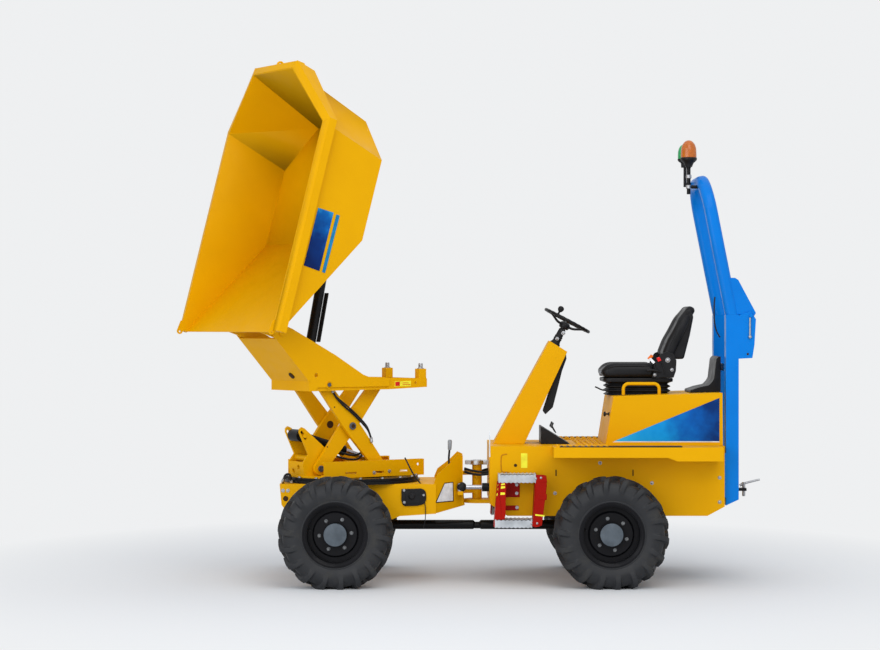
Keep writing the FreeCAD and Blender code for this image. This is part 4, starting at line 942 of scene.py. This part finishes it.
piping = []
for side in (-1, 1):
    piping.append(hose([(1830, side * 217, 1464), (1860, side * 221, 1478), (1920, side * 222, 1483),
                        (2030, side * 222, 1483), (2120, side * 220, 1477)], 3.0, 8, steps=10))
    edge = [(-165, side * 219, 16), (-90, side * 220, 20), (0, side * 218, 21), (80, side * 203, 16),
            (150, side * 178, 6)]
    piping.append(tube(leaned(curve(edge, 10), BACK_CENTRE), 3.0, 8))
make("seat_piping", piping, "rear_chassis", "seat_vinyl")

fold = np.linspace(0, 1, 37)
folds = 9 * np.cos(3 * 2 * math.pi * fold)
bellows = [(1284 + 90 * t, 212 + wave, 178 + wave, 52) for t, wave in zip(fold, folds)]
make("seat_bellows", [loops(bellows, (2044, 0))], "rear_chassis", "black_plastic", hose_rubber, smooth=70.0,
     stands_for=("seat_base",))
tray = [(1372, 226, 202, 50), (1376, 238, 212, 54), (1392, 240, 214, 54), (1400, 236, 212, 52), (1401, 220, 198, 46)]
make("seat_tray", [loops(tray, (2040, 0))], "rear_chassis", "black_plastic")

SHELL = [(2256, 1534), (2300, 1529), (2352, 1530), (2394, 1694), (2419, 1822), (2404, 1850), (2380, 1868),
         (2350, 1840), (2318, 1740)]
make("seat_shell", [plate(SHELL, -190, 190)], "rear_chassis", "black_plastic", bevel=14.0)
BRACKET = [(2128, 1404), (2146, 1470), (2166, 1530), (2190, 1566), (2232, 1582), (2276, 1566), (2296, 1520),
           (2292, 1450), (2276, 1404)]
brackets = [plate(BRACKET, side * 236, side * 247) for side in (-1, 1)]
make("seat_brackets", brackets, "rear_chassis", "black_plastic", bevel=4.0)
pivots = []
for side in (-1, 1):
    pivots += dome(2264, side * 247, 1458, (0, side, 0), 9) + dome(2236, side * 247, 1524, (0, side, 0), 13)
    pivots += dome(2148, side * 247, 1424, (0, side, 0), 8)
make("seat_pivots", pivots, "rear_chassis", "bare_steel", zinc)
handle = curve([(2190, -252, 1440), (2160, -256, 1452), (2120, -256, 1456), (2096, -254, 1450)])
make("recline_handle", [tube(handle, np.linspace(6, 9, len(handle)), 12)], "rear_chassis", "black_plastic")
make("belt_stalk", [hose([(2166, -250, 1420), (2150, -254, 1470), (2138, -255, 1512)], 6.0, 10)], "rear_chassis",
     "black_plastic", hose_rubber)
make("buckle_tongue", [plate([(2096, 1536), (2122, 1564), (2138, 1550), (2112, 1524)], -262, -250)], "rear_chassis",
     "black_plastic", buckle_orange, bevel=2.5)
make("buckle_plate", [plate([(2104, 1532), (2120, 1540), (2150, 1510), (2136, 1498)], -264, -248)], "rear_chassis",
     "bare_steel", label_pale, bevel=2.0)
make("buckle_release", [plate([(2158, 1538), (2178, 1546), (2192, 1522), (2170, 1512)], -264, -248)], "rear_chassis",
     "red_paint", buckle_red, bevel=3.0)
make("belt_strap", [hose([(2176, -252, 1524), (2196, -250, 1500), (2210, -249, 1460), (2216, -248, 1425)], 5.0, 8)],
     "rear_chassis", "black_plastic", hose_rubber)
knob = [turned([(0, -2), (15, -2), (17, 4), (17, 16), (12, 22), (0, 22)], (1800, -120, 1432), (-1, 0, -0.1), 24)]
make("weight_knob", knob, "rear_chassis", "black_plastic", grip_grey)
make("slide_lever", [hose([(1850, -130, 1312), (1800, -132, 1318), (1764, -132, 1334), (1750, -132, 1340)], 5.0)],
     "rear_chassis", "black_plastic")

# ---------------------------------------------------------------- steering wheel
WHEEL_CENTRE = np.array([1567.0, 0.0, 1792.0])
WHEEL_AXIS = np.array([0.469, 0.0, 0.884]) / np.linalg.norm([0.469, 0.884])
WHEEL_ACROSS = np.array([0.0, 1.0, 0.0])
WHEEL_AHEAD = np.cross(WHEEL_ACROSS, WHEEL_AXIS) * -1


def on_wheel(ahead, across, up):
    """Point on the steering wheel, measured from its middle along its own plane and axis."""
    return WHEEL_CENTRE + ahead * WHEEL_AHEAD + across * WHEEL_ACROSS + up * WHEEL_AXIS


def grip_ring():
    """Torus whose tube radius swells a little between twenty-four finger hollows."""
    a = np.linspace(0, 2 * np.pi, 144, endpoint=False)[:, None]
    b = np.linspace(0, 2 * np.pi, 16, endpoint=False)[None, :]
    r = 10.5 + 0.7 * np.cos(24 * a)
    ahead, across, up = (165 + r * np.cos(b)) * np.cos(a), (165 + r * np.cos(b)) * np.sin(a), r * np.sin(b)
    p = WHEEL_CENTRE + ahead[..., None] * WHEEL_AHEAD + across[..., None] * WHEEL_ACROSS + up[..., None] * WHEEL_AXIS
    return p.reshape(-1, 3), grid_faces(144, 16, True, True)


spokes = [grip_ring(), turned([(0, -61), (30, -61), (36, -52), (38, -34), (33, -20), (20, -14), (0, -13)],
                              WHEEL_CENTRE, WHEEL_AXIS, 36)]
for angle in np.radians((90, 210, 330)):
    c, w = math.cos(angle), math.sin(angle)
    run = curve([on_wheel(26 * c, 26 * w, -38), on_wheel(70 * c, 70 * w, -34), on_wheel(125 * c, 125 * w, -12),
                 on_wheel(158 * c, 158 * w, -2)])
    spokes.append(tube(run, np.linspace(9.5, 6.5, len(run)), 12))
make("steering_wheel_rim", spokes, "hand_wheel", "black_plastic", smooth=50.0,
     stands_for=("steering_wheel",))
grip = [turned([(0, 6), (7, 6), (7, 24), (13, 28), (20, 40), (21, 52), (15, 62), (6, 66), (0, 66)],
               on_wheel(82, -143, 0), WHEEL_AXIS, 28)]
make("steering_knob", grip, "hand_wheel", "black_plastic", smooth=50.0)
boot = [turned([(0, -214), (34, -214), (37, -205), (37, -176), (30, -168), (26, -150), (30, -142), (26, -134),
                (29, -126), (25, -118), (24, -70), (0, -70)], WHEEL_CENTRE, WHEEL_AXIS, 32)]
make("column_boot", boot, "rear_chassis", "black_paint", hose_rubber, smooth=50.0)
make("column_clamp", dome(1540, -26, 1706, (-0.2, -1, 0), 11) + dome(1496, -30, 1668, (-0.2, -1, 0), 9),
     "rear_chassis", "bare_steel", zinc)

MAST_COVER = [(1538, 1590), (1556, 1572), (1560, 1530), (1530, 1448), (1494, 1305), (1466, 1196), (1415, 1147),
              (1398, 1172), (1440, 1300)]
make("mast_cover", [plate(MAST_COVER, -48, 48)], "rear_chassis", "black_plastic", bevel=5.0)

# ---------------------------------------------------------------- platform, toe board and pedals
make("toe_board", [plate([(1379, 950), (1379, 1067), (1388, 1067), (1578, 950)], -170, 170)], "rear_chassis",
     "black_plastic", bevel=4.0)
pedals = []
for y in (-120, 60):
    pedals += [plate([(1448, 1060), (1462, 1094), (1470, 1091), (1456, 1056)], y, y + 70),
               plate([(1462, 1072), (1488, 1024), (1482, 1020), (1456, 1066)], y + 26, y + 42)]
make("pedals", pedals, "rear_chassis", "black_plastic", bevel=1.5)

DECK_TOP = 954.0
bx, by = np.meshgrid(np.arange(1475, 1830, 40.0), np.r_[np.arange(-670, -460, 40.0), np.arange(-380, 400, 40.0),
                                                       np.arange(480, 690, 40.0)], indexing="ij")
grips = [turned([(15, -1), (14, 5), (11, 9), (7, 9), (5, 5), (5, -1)], (x, y, DECK_TOP - 4 * (abs(y) < 440)),
                (0, 0, 1), 12) for x, y in zip(bx.ravel(), by.ravel()) if abs(y) > 440 or x > 1600]
make("deck_edge_trim", both([block(1480, 2290, -690, -600, 953, 961)]), "rear_chassis", "black_plastic", bevel=1.5)
make("deck_grips", grips, "rear_chassis", "yellow_paint", smooth=50.0)

# ---------------------------------------------------------------- steps
def wavy_tread(x0, x1, top, height, side):
    """Grip tread: its edges follow a cosine, nine teeth long, front and back skins under a folded top."""
    x = np.linspace(x0, x1, 73)
    wave = 2.4 * np.cos((x - x0) / (x1 - x0) * 18 * np.pi)
    skin = np.r_[np.c_[x, top - 2 + wave], np.c_[x, top - height + 2 - wave][::-1]]
    sheet = np.r_[np.c_[x, top - 2 + wave], np.c_[x, top - 7 + wave][::-1]]
    out, back = side * 602.0, side * 446.0
    near = side * 597.5
    return [plate(skin, *sorted((out, near))), plate(sheet, *sorted((out, back))),
            plate(skin, *sorted((back, back + side * 4)))]


STEP_BOLTS = [(1326, 742), (1360, 748), (1297, 442), (1335, 445)]
STEP_STRIPES = [[(1076, 706), (1120, 712), (1120, 702), (1074, 694)],
                [(1072, 678), (1084, 690), (1121, 694), (1121, 680), (1090, 674), (1072, 664)],
                [(1067, 644), (1080, 652), (1121, 650), (1121, 636), (1080, 634), (1065, 628)]]
for side, hand in (("left", -1), ("right", 1)):
    treads = wavy_tread(1078, 1326, 773, 60, hand) + wavy_tread(1054, 1302, 472, 58, hand)
    make("step_treads_" + side, treads, "rear_chassis", "bare_steel", galvanised, bevel=1.0)
    studs = []
    for x, z in STEP_BOLTS:
        studs += dome(x, hand * STEP_Y, z, (0, hand, 0), 8.5)
    for x, z in [(1204, 692), (1204, 634), (1206, 539)]:
        studs += bolt(x, hand * 446, z, (0, hand, 0), 9.0)
    make("step_bolts_" + side, studs, "rear_chassis", "bare_steel", zinc)
    marks = [side_plate(m, hand, 599, 601.2) for m in STEP_STRIPES]
    marks.append(side_plate([(1322, 497), (1384, 490), (1384, 500), (1322, 507)], hand, 599, 601.2))
    make("step_stripes_" + side, marks, "rear_chassis", "yellow_paint", label_yellow)
    pads = [side_plate([(1340, 722), (1402, 716), (1396, 762), (1376, 768), (1345, 768)], hand, 594, 602.5),
            side_plate([(1300, 428), (1320, 420), (1352, 424), (1356, 462), (1318, 464), (1298, 452)],
                       hand, 594, 602.5),
            side_plate([(1344, 640), (1400, 640), (1398, 600), (1340, 604)], hand, 594, 603)]
    make("step_lugs_" + side, pads, "rear_chassis", "red_paint", bevel=2.0)

# ---------------------------------------------------------------- skip film
film = printed("skip_film", tub(480, -636, -110), tub(850, -636, -225),
               [(0.0, (0.002, 0.010, 0.075)), (0.5, (0.002, 0.03, 0.17)), (0.78, (0.003, 0.11, 0.4)),
                (1.0, (0.03, 0.34, 0.66))])
film_pale = plastic("film_pale", (0.004, 0.16, 0.34), 0.4)
make("skip_label", [plate([(858, -106), (863, -226), (465, -227), (467, -105)], -640, -637.4)], "tub", "blue_paint",
     film, place=tub)
make("skip_stripe", [plate([(858, -250), (859, -276), (465, -272), (465, -249)], -640, -637.4)], "tub", "blue_paint",
     film_pale, place=tub)

# ---------------------------------------------------------------- lifting gear: hoses, bolts, caps
def ferrule(a, b, radius):
    """Crimped sleeve between two points: three beads along it."""
    a, b = np.asarray(a, float), np.asarray(b, float)
    long = float(np.linalg.norm(b - a))
    rows = [(0, 0), (radius, 0), (radius * 1.25, long * 0.06), (radius * 1.25, long * 0.28), (radius, long * 0.32),
            (radius * 1.18, long * 0.4), (radius * 1.18, long * 0.9), (radius * 0.8, long), (0, long)]
    return turned(rows, a, b - a, 16)


for v in (-188, -174):
    side = "outer" if v == -188 else "inner"
    shift = 0 if v == -188 else 22
    make("arm_hose_" + side, [hose([(-262, v, 1306 + shift * 0.4), (-230, v, 1262 + shift * 0.6),
                                    (-166, v, 1205 + shift), (-79, v, 1137 + shift), (8, v, 1054 + shift),
                                    (40, v, 992 + shift)], 7.0, steps=10)], "arm_pair_a", "black_plastic",
         hose_rubber, place=swung)
make("arm_hose_ends", [ferrule((40, -188, 994), (46, -188, 958), 9),
                       ferrule((-262, -188, 1305), (-276, -188, 1336), 9)], "arm_pair_a", "bare_steel", zinc,
     place=swung)
cylinder_runs = [[(-216, -84, 880), (-150, -96, 858), (-70, -98, 842), (0, -92, 846), (50, -70, 880)],
                 [(-220, -72, 914), (-150, -92, 894), (-64, -96, 872), (10, -90, 880), (48, -66, 912)]]
cylinder_hoses = [hose(run, 7.5, steps=10) for run in cylinder_runs]
make("lift_hoses", cylinder_hoses, "turned_frame", "black_plastic", hose_rubber, place=swung)

# small dark discs on the arm faces: painted shade in the holes there
arm_hole_shades = []
for u, z in [(-246, 1206), (-280, 936)]:
    face = -178 if z > 1000 else -140
    arm_hole_shades.append(disc((u, face, z), (0, -1, 0), 5, 1, 16))
make("arm_hole_high", arm_hole_shades[:1], "arm_pair_a", "black_paint", dark_brown_and_recess_shade, place=swung)
make("arm_hole_low", arm_hole_shades[1:], "arm_pair_b", "black_paint", dark_brown_and_recess_shade, place=swung)
cap = [turned([(0, 0), (25, 0), (25, 7), (21, 9), (0, 9)], (-105, -182, 1075), (0, -1, 0), 32)]
make("cross_pin_cap", cap, "arm_pair_b", "bare_steel", cap_grey, place=swung)
# dark discs at the cross pin's ends, inside the cap and on the arms' inner faces: painted shade in the recesses there
heads = both([disc((-105, -190, 1075), (0, -1, 0), 14, 2, 24)])
heads += both([disc((-105, -111, 1075), (0, 1, 0), 26, 1.5, 28)])
make("cross_pin_heads", heads, "arm_pair_b", "black_paint", dark_brown_and_recess_shade, place=swung)
low_caps = both([turned([(22, 0), (22, 6), (14, 8), (12, 3), (0, 3)], (-335, -147, 790), (0, -1, 0), 28)])
make("low_pin_caps", low_caps, "turned_frame", "black_paint", cap_grey, place=swung)
high_caps = both([turned([(26, 0), (26, 4), (20, 6), (0, 6)], (-335, -252, 1360), (0, -1, 0), 28)])
make("high_pin_bosses", high_caps, "lifted_frame", "yellow_paint", place=swung)
high_heads = both([disc((-335, -257, 1360), (0, -1, 0), 13, 4, 24)])
make("high_pin_heads", high_heads, "lifted_frame", "black_paint", cap_grey, place=swung)
# short dark tube in the front sheet: painted shade in its hole
sheet_hole = tube([(-524, -84, 1423), (-530, -84, 1418)], 24, 24)
make("front_sheet_hole", [sheet_hole], "lifted_frame", "black_paint", dark_brown_and_recess_shade, place=swung)

rail = []
for u, z in [(32, 756), (155, 762)]:
    rail += bolt(u, -241, z, (0, -1, 0), 10.0)
make("lower_rail_bolts", rail, "turned_frame", "bare_steel", zinc, place=swung)
ring = []
for angle in np.radians(np.arange(18) * 20 + 6):
    ring += bolt(445 * math.cos(angle), 445 * math.sin(angle), 728, (0, 0, 1), 11.0, 0.7)
make("ring_bolts", ring, "turned_frame", "bare_steel", zinc, place=swung)
marks = [plate([(199, 1340), (332, 1341), (332, 1378), (199, 1376)], -241.6, -240.2)]
make("rail_label", marks, "lifted_frame", "yellow_paint", label_yellow, place=swung)
marks = [plate([(203, 1344), (240, 1344), (240, 1373), (203, 1372)], -242.2, -241.4),
         plate([(262, 1350), (326, 1350), (326, 1354), (262, 1354)], -242.2, -241.4),
         plate([(262, 1362), (310, 1362), (310, 1366), (262, 1366)], -242.2, -241.4)]
make("rail_label_marks", marks, "lifted_frame", "red_paint", buckle_red, place=swung)

# ---------------------------------------------------------------- front chassis: nose, cover, cables, label
SIDE_Y = -360.0
cover = [(430, 657), (562, 661), (584, 652), (596, 632), (597, 581), (580, 556), (540, 544), (452, 542), (439, 552),
         (430, 580)]
make("side_cover", [plate(cover, *sorted((SIDE_Y, SIDE_Y - 14)))], "front_chassis", "black_plastic", bevel=6.0)
inner = [(452, 644), (556, 648), (580, 628), (581, 588), (548, 560), (462, 558)]
make("side_cover_panel", [plate(inner, *sorted((SIDE_Y - 13, SIDE_Y - 18)))], "front_chassis", "black_plastic",
     bevel=3.0)
studs = []
for x, z in ((448, 649), (450, 568), (578, 617)):
    studs += bolt(x, SIDE_Y - 14, z, (0, -1, 0), 7.0)
for x, z in ((-368, 646), (-335, 646)):
    studs += bolt(x, SIDE_Y, z, (0, -1, 0), 10.0)
make("side_bolts", studs, "front_chassis", "bare_steel", zinc)
make("cover_knob", [turned([(0, 0), (20, 0), (22, 4), (22, 12), (14, 18), (0, 18)], (500, SIDE_Y - 17, 610),
                           (0, -1, 0), 24)], "front_chassis", "black_plastic")
make("cover_tether", [hose([(585, SIDE_Y - 8, 578), (592, SIDE_Y - 14, 520), (590, SIDE_Y - 12, 450),
                            (576, SIDE_Y - 6, 388)], 3.0, 8)], "front_chassis", "black_plastic", hose_rubber)
# dark disc on the nose: painted shade in a hole
make("nose_hole", [disc((-350, -360.2, 592), (0, -1, 0), 18, 1, 28)], "front_chassis", "black_paint", dark_brown_and_recess_shade)
nose = [hose([(-372, -300, 690), (-366, -316, 720), (-340, -322, 736), (-318, -318, 712), (-312, -300, 684)], 7.5),
        hose([(-376, -250, 690), (-360, -264, 742), (-330, -268, 748), (-316, -262, 700)], 7.5)]
make("nose_hoses", nose, "front_chassis", "black_plastic", hose_rubber)
make("nose_fittings", [ferrule((-364, -318, 722), (-378, -312, 700), 9),
                       ferrule((-318, -318, 712), (-311, -306, 688), 9)], "front_chassis", "bare_steel", zinc)
make("loose_cable", [hose([(452, -262, 862), (474, -280, 820), (494, -292, 781), (524, -300, 730), (563, -300, 684)],
                          5.0, 10)], "front_chassis", "black_plastic", hose_rubber)


def slanted(x, y, z):
    """Places on the drawn-in flank near the pivot: y counts outward from it."""
    return at(x, -(360 - (np.asarray(x, float) - 650) * 1.1) + np.asarray(y, float), z)


sticker = [(720, 693), (781, 696), (784, 562), (658, 562)]
inset = [(722, 687), (776, 690), (778, 568), (668, 568)]
make("flank_label_edge", [plate(sticker, -2.2, -0.6)], "front_chassis", "black_paint", dark_brown_and_recess_shade, place=slanted)
make("flank_label", [plate(inset, -3.4, -2.0)], "front_chassis", "bare_steel", label_pale, place=slanted)
make("lever_arm", [hose([(752, -236, 818), (750, -238, 860), (755, -240, 922)], 7.0)], "front_chassis",
     "black_plastic")
make("lever_grip", [turned([(0, 0), (11, 0), (13, 8), (14, 40), (15, 58), (11, 68), (0, 70)], (755, -240, 914),
                           (0.04, 0, 1), 20)], "front_chassis", "black_plastic", grip_grey)

# ---------------------------------------------------------------- articulation hoses
joint_hoses = []
for k, (y, z0, z1) in enumerate(((-92, 772, 762), (-118, 752, 748), (60, 764, 770), (110, 744, 752))):
    joint_hoses.append(hose([(858, y, z0 + 6), (905, y * 0.86, z0 - 8), (955, y * 0.8, z0 - 16),
                             (1004, y * 0.9, z1 - 8), (1044, y, z1)], 8.5))
make("joint_hoses", joint_hoses, "front_chassis", "black_plastic", hose_rubber)
ball = np.array([(33 * math.sin(a), -33 * math.cos(a)) for a in np.linspace(0, math.pi, 21)])
ball[:, 0] = np.abs(ball[:, 0])
make("steer_joint_boot", [turned(ball, (838, -215, 661), (1, 0, 0.02), 36)], body_of["steer_barrel"], "black_plastic",
     hose_rubber, smooth=50.0)
make("pivot_bar", [block(862, 1023, -38, 38, 803, 830)], "rear_chassis", "bare_steel", bar_grey, bevel=2.0)
make("propshaft_cross", [tube([(922, 0, 383), (968, 0, 383)], 23, 24)], "rear_chassis", "black_paint")

# ---------------------------------------------------------------- rear chassis side
flank = []
for x, z in ((1461, 634), (2111, 703), (1763, 837), (2565, 738), (2565, 575)):
    for hand in (-1, 1):
        flank += dome(x, hand * FLANK_Y, z, (0, hand, 0), 9.5)
make("flank_bolts", flank, "rear_chassis", "bare_steel", zinc)
# dark plates and a dark disc on the flanks: painted shade in slots and a round recess
DENT_FLOOR, DENT_FACE = FLANK_Y + 0.2, FLANK_Y + 1.2
dents = []
for hand in (-1, 1):
    dents += [side_plate([(x - 4, 750), (x + 4, 750), (x + 4, 792), (x - 4, 792)], hand, DENT_FLOOR, DENT_FACE)
              for x in (1468, 1984)]
    dents.append(disc((1196, hand * DENT_FLOOR, 821), (0, hand, 0), 11, 1, 20))
make("flank_slots", dents, "rear_chassis", "black_paint", dark_brown_and_recess_shade)
# thin bows in a darker yellow on each flank: painted shade along the edge of a pressed recess
bows = []
for hand in (-1, 1):
    run = [(1140, hand * 441, 896), (1108, hand * 441, 890), (1100, hand * 441, 868), (1100, hand * 441, 806),
           (1108, hand * 441, 782), (1150, hand * 441, 776)]
    bows.append(hose(run, 4.0, 10))
make("flank_bows", bows, "rear_chassis", "yellow_paint", painted_recess_shade_yellow)
make("flank_blank_label", [plate([(1233, 804), (1276, 804), (1276, 902), (1233, 902)], -441.4, -440.2)],
     "rear_chassis", "yellow_paint", label_yellow)
make("mast_edge_strip", [block(1019, 1027, -441.2, -440.1, 877, 1047)], "rear_chassis", "bare_steel", label_pale)

tongue = [block(2660, 2800, -34, 34, 620, 640)]
make("hitch_tongue", tongue, "rear_chassis", "black_paint", bevel=3.0)
draw_pin = [turned([(0, 0), (9, 0), (11, 8), (11, 84), (14, 86), (14, 96), (0, 96)], (2784, 0, 582), (0, 0, 1), 20),
            hose([(2756, 0, 656), (2784, 0, 669), (2840, 0, 684), (2894, 0, 697)], np.linspace(9, 7, 25), 12)]
make("hitch_pin", draw_pin, "rear_chassis", "bare_steel", zinc)

# ---------------------------------------------------------------- seat box film
box_film = printed("seat_box_film", at(1860, -400, 985), at(2560, -400, 1150),
                   [(0.0, (0.03, 0.44, 0.84)), (0.4, (0.006, 0.30, 0.76)), (0.72, (0.003, 0.11, 0.46)),
                    (1.0, (0.002, 0.03, 0.16))], 0.1)
for hand in (-1, 1):
    tag = "right" if hand < 0 else "left"
    edge = side_plate([(1850, 974), (2568, 974), (2568, 983), (1872, 983)], hand, 400.4, 401.4)
    make("seat_box_film_edge_" + tag, [edge], "rear_chassis", "bare_steel", label_pale)
    inside = side_plate([(1862, 981), (2568, 1272), (2568, 981)], hand, 401.2, 402.4)
    make("seat_box_film_" + tag, [inside], "rear_chassis", "blue_paint", box_film)
make("seat_box_knob", [turned([(0, 0), (14, 0), (14, 6), (6, 8), (6, 24), (16, 26), (17, 34), (12, 40), (0, 40)],
                              (1836, -300, 1160), (-1, 0, 0), 24)], "rear_chassis", "black_plastic")

# ---------------------------------------------------------------- hoop details and beacons
make("hoop_cable", [hose([(2540, -380, 1950), (2534, -396, 1900), (2534, -400, 1800), (2546, -398, 1730),
                          (2572, -392, 1679)], 5.0, 10)], "rear_chassis", "black_plastic", hose_rubber)
make("hoop_lock_pin", [tube([(2773, -405, 1812), (2773, -405, 1688)], 6.0, 12),
                       turned([(0, -12), (7, -10), (11, -5), (12, 0), (11, 5), (7, 10), (0, 12)], (2773, -405, 1682),
                              (0, 0, 1), 24)], "rear_chassis", "bare_steel", zinc)
# dark disc on the rear chassis side: painted shade in a hole
make("hoop_hole", [disc((2754, -438.2, 1567), (0, -1, 0), 8, 1, 18)], "rear_chassis", "black_paint", dark_brown_and_recess_shade)


def lamp_dome(x, y, z0, z1, radius):
    """Beacon cover: nearly straight to a third of its height, then a quarter ellipse."""
    a = np.linspace(0, np.pi / 2, 14)
    h = z1 - z0
    rows = np.vstack([[(0, 0), (radius, 0), (radius * 1.01, h * 0.12), (radius * 0.99, h * 0.34)],
                      np.c_[radius * 0.99 * np.cos(a), h * (0.36 + 0.64 * np.sin(a))]])
    return turned(rows, (x, y, z0), (0, 0, 1), 48)


make("beacon_amber_cover", [lamp_dome(2383, -200, 2902, 3020, 53)], "hoop", "amber_lens", smooth=60.0,
     stands_for=("beacon_amber",))
base = [turned([(0, 0), (24, 0), (26, 8), (34, 26), (50, 40), (56, 48), (56, 60), (52, 65), (0, 65)],
               (2383, -200, 2838), (0, 0, 1), 40)]
make("beacon_amber_base", base, "hoop", "black_plastic")
pole = [turned([(0, 0), (13, 0), (13, 176), (16, 180), (16, 190), (0, 190)], (2383, -200, 2652), (0, 0, 1), 24),
        tube([(2383, -200, 2702), (2450, -200, 2702)], 12)]
make("beacon_pole", pole, "hoop", "black_paint")
clamp = [turned([(17, 0), (19, 2), (19, 22), (17, 24)], (2383, -200, z), (0, 0, 1), 28) for z in (2690, 2760)]
make("beacon_clamps", clamp, "hoop", "bare_steel", zinc)
make("beacon_green_cover", [lamp_dome(2383, 120, 2914, 3016, 41)], "hoop", "green_lens", smooth=60.0,
     stands_for=("beacon_green",))
base = [turned([(0, 0), (18, 0), (20, 30), (38, 44), (43, 52), (43, 60), (0, 60)], (2383, 120, 2855), (0, 0, 1), 36),
        disc((2392, 120, 2720), (0, 0, 1), 11, 145, 20), tube([(2392, 120, 2740), (2450, 120, 2740)], 11)]
make("beacon_green_base", base, "hoop", "black_plastic")

# ---------------------------------------------------------------- stage, camera and light
FLOOR_Z = 0.024
FLOOR_EDGE, FLOOR_BACK = 40, 60
FADE_FROM, FADE_TO = 1.9, 4.2
BACKGROUND = (0.86, 0.87, 0.88, 1)
floor_mat, floor_tree, floor_shader, floor_place = nodes_of("pale_floor")
floor_shader.inputs["Base Color"].default_value = (0.80, 0.81, 0.82, 1)
floor_shader.inputs["Roughness"].default_value = 0.9
floor_shader.inputs["Specular IOR Level"].default_value = 0.0
# past the object the floor fades into the backdrop, by the distance from its middle, shortened in depth
far_glow = floor_tree.nodes.new("ShaderNodeEmission")
far_glow.inputs["Color"].default_value = BACKGROUND
floor_squash = floor_tree.nodes.new("ShaderNodeVectorMath")
floor_squash.operation = "MULTIPLY"
floor_squash.inputs[1].default_value = (1.0, 0.8, 0.0)
floor_reach = floor_tree.nodes.new("ShaderNodeVectorMath")
floor_reach.operation = "LENGTH"
floor_tree.links.new(floor_place, floor_squash.inputs[0])
floor_tree.links.new(floor_squash.outputs["Vector"], floor_reach.inputs[0])
floor_far = spread(floor_tree, floor_reach.outputs["Value"], 0.0, 1.0, FADE_FROM, FADE_TO)
floor_out = [n for n in floor_tree.nodes if n.type == "OUTPUT_MATERIAL"][0]
mixed(floor_tree, maths(floor_tree, "MULTIPLY", floor_far, seen_rays(floor_tree)), floor_shader.outputs["BSDF"],
      far_glow.outputs["Emission"], floor_out)
floor = bpy.data.objects.new("floor", bpy.data.meshes.new("floor"))
floor.data.from_pydata([(-FLOOR_EDGE, -FLOOR_EDGE, FLOOR_Z), (FLOOR_EDGE, -FLOOR_EDGE, FLOOR_Z),
                        (FLOOR_EDGE, FLOOR_BACK, FLOOR_Z), (-FLOOR_EDGE, FLOOR_BACK, FLOOR_Z)], [], [(0, 1, 2, 3)])
floor.data.materials.append(floor_mat)
bpy.context.collection.objects.link(floor)

LENS = 94.94
CAMERA_FROM = (690.0, -16000.0, 1762.0)
camera_data = bpy.data.cameras.new("camera")
camera_data.lens = LENS
camera_data.sensor_width = 36.0
camera_data.clip_end = 200.0
camera = bpy.data.objects.new("camera", camera_data)
camera.location = tuple(at(*CAMERA_FROM))
camera.rotation_euler = (math.radians(90), 0, 0)
bpy.context.collection.objects.link(camera)
bpy.context.scene.camera = camera


def lamp(name, place, aim, size, watts, colour=(1, 1, 1)):
    """Soft rectangular lamp that looks at a point."""
    data = bpy.data.lights.new(name, "AREA")
    data.shape = "RECTANGLE"
    data.size, data.size_y = size
    data.energy = watts
    data.color = colour
    obj = bpy.data.objects.new(name, data)
    obj.location = place
    obj.rotation_euler = (Vector(aim) - Vector(place)).to_track_quat("-Z", "Y").to_euler()
    bpy.context.collection.objects.link(obj)


lamp("key", (2.6, -8.0, 8.2), (0.1, 0.0, 1.2), (7.0, 7.0), 330.0, (1.0, 0.985, 0.96))
lamp("front_fill", (-5.0, -9.0, 3.6), (-0.2, 0.0, 1.3), (8.0, 6.0), 330.0, (0.97, 0.98, 1.0))
lamp("top", (0.6, 0.5, 9.0), (0.2, 0.0, 1.0), (8.0, 8.0), 90.0)

world = bpy.data.worlds.new("studio")
bpy.context.scene.world = world
world.use_nodes = True
sky = world.node_tree
sky.nodes.clear()
sky_light = sky.nodes.new("ShaderNodeBackground")
sky_light.inputs["Color"].default_value = (0.86, 0.9, 0.96, 1)
sky_light.inputs["Strength"].default_value = 0.72
sky_seen = sky.nodes.new("ShaderNodeBackground")
sky_seen.inputs["Color"].default_value = BACKGROUND
sky_seen.inputs["Strength"].default_value = 1.0
mixed(sky, seen_rays(sky), sky_light.outputs["Background"], sky_seen.outputs["Background"],
      sky.nodes.new("ShaderNodeOutputWorld"))

bpy.context.scene.view_settings.view_transform = "Standard"
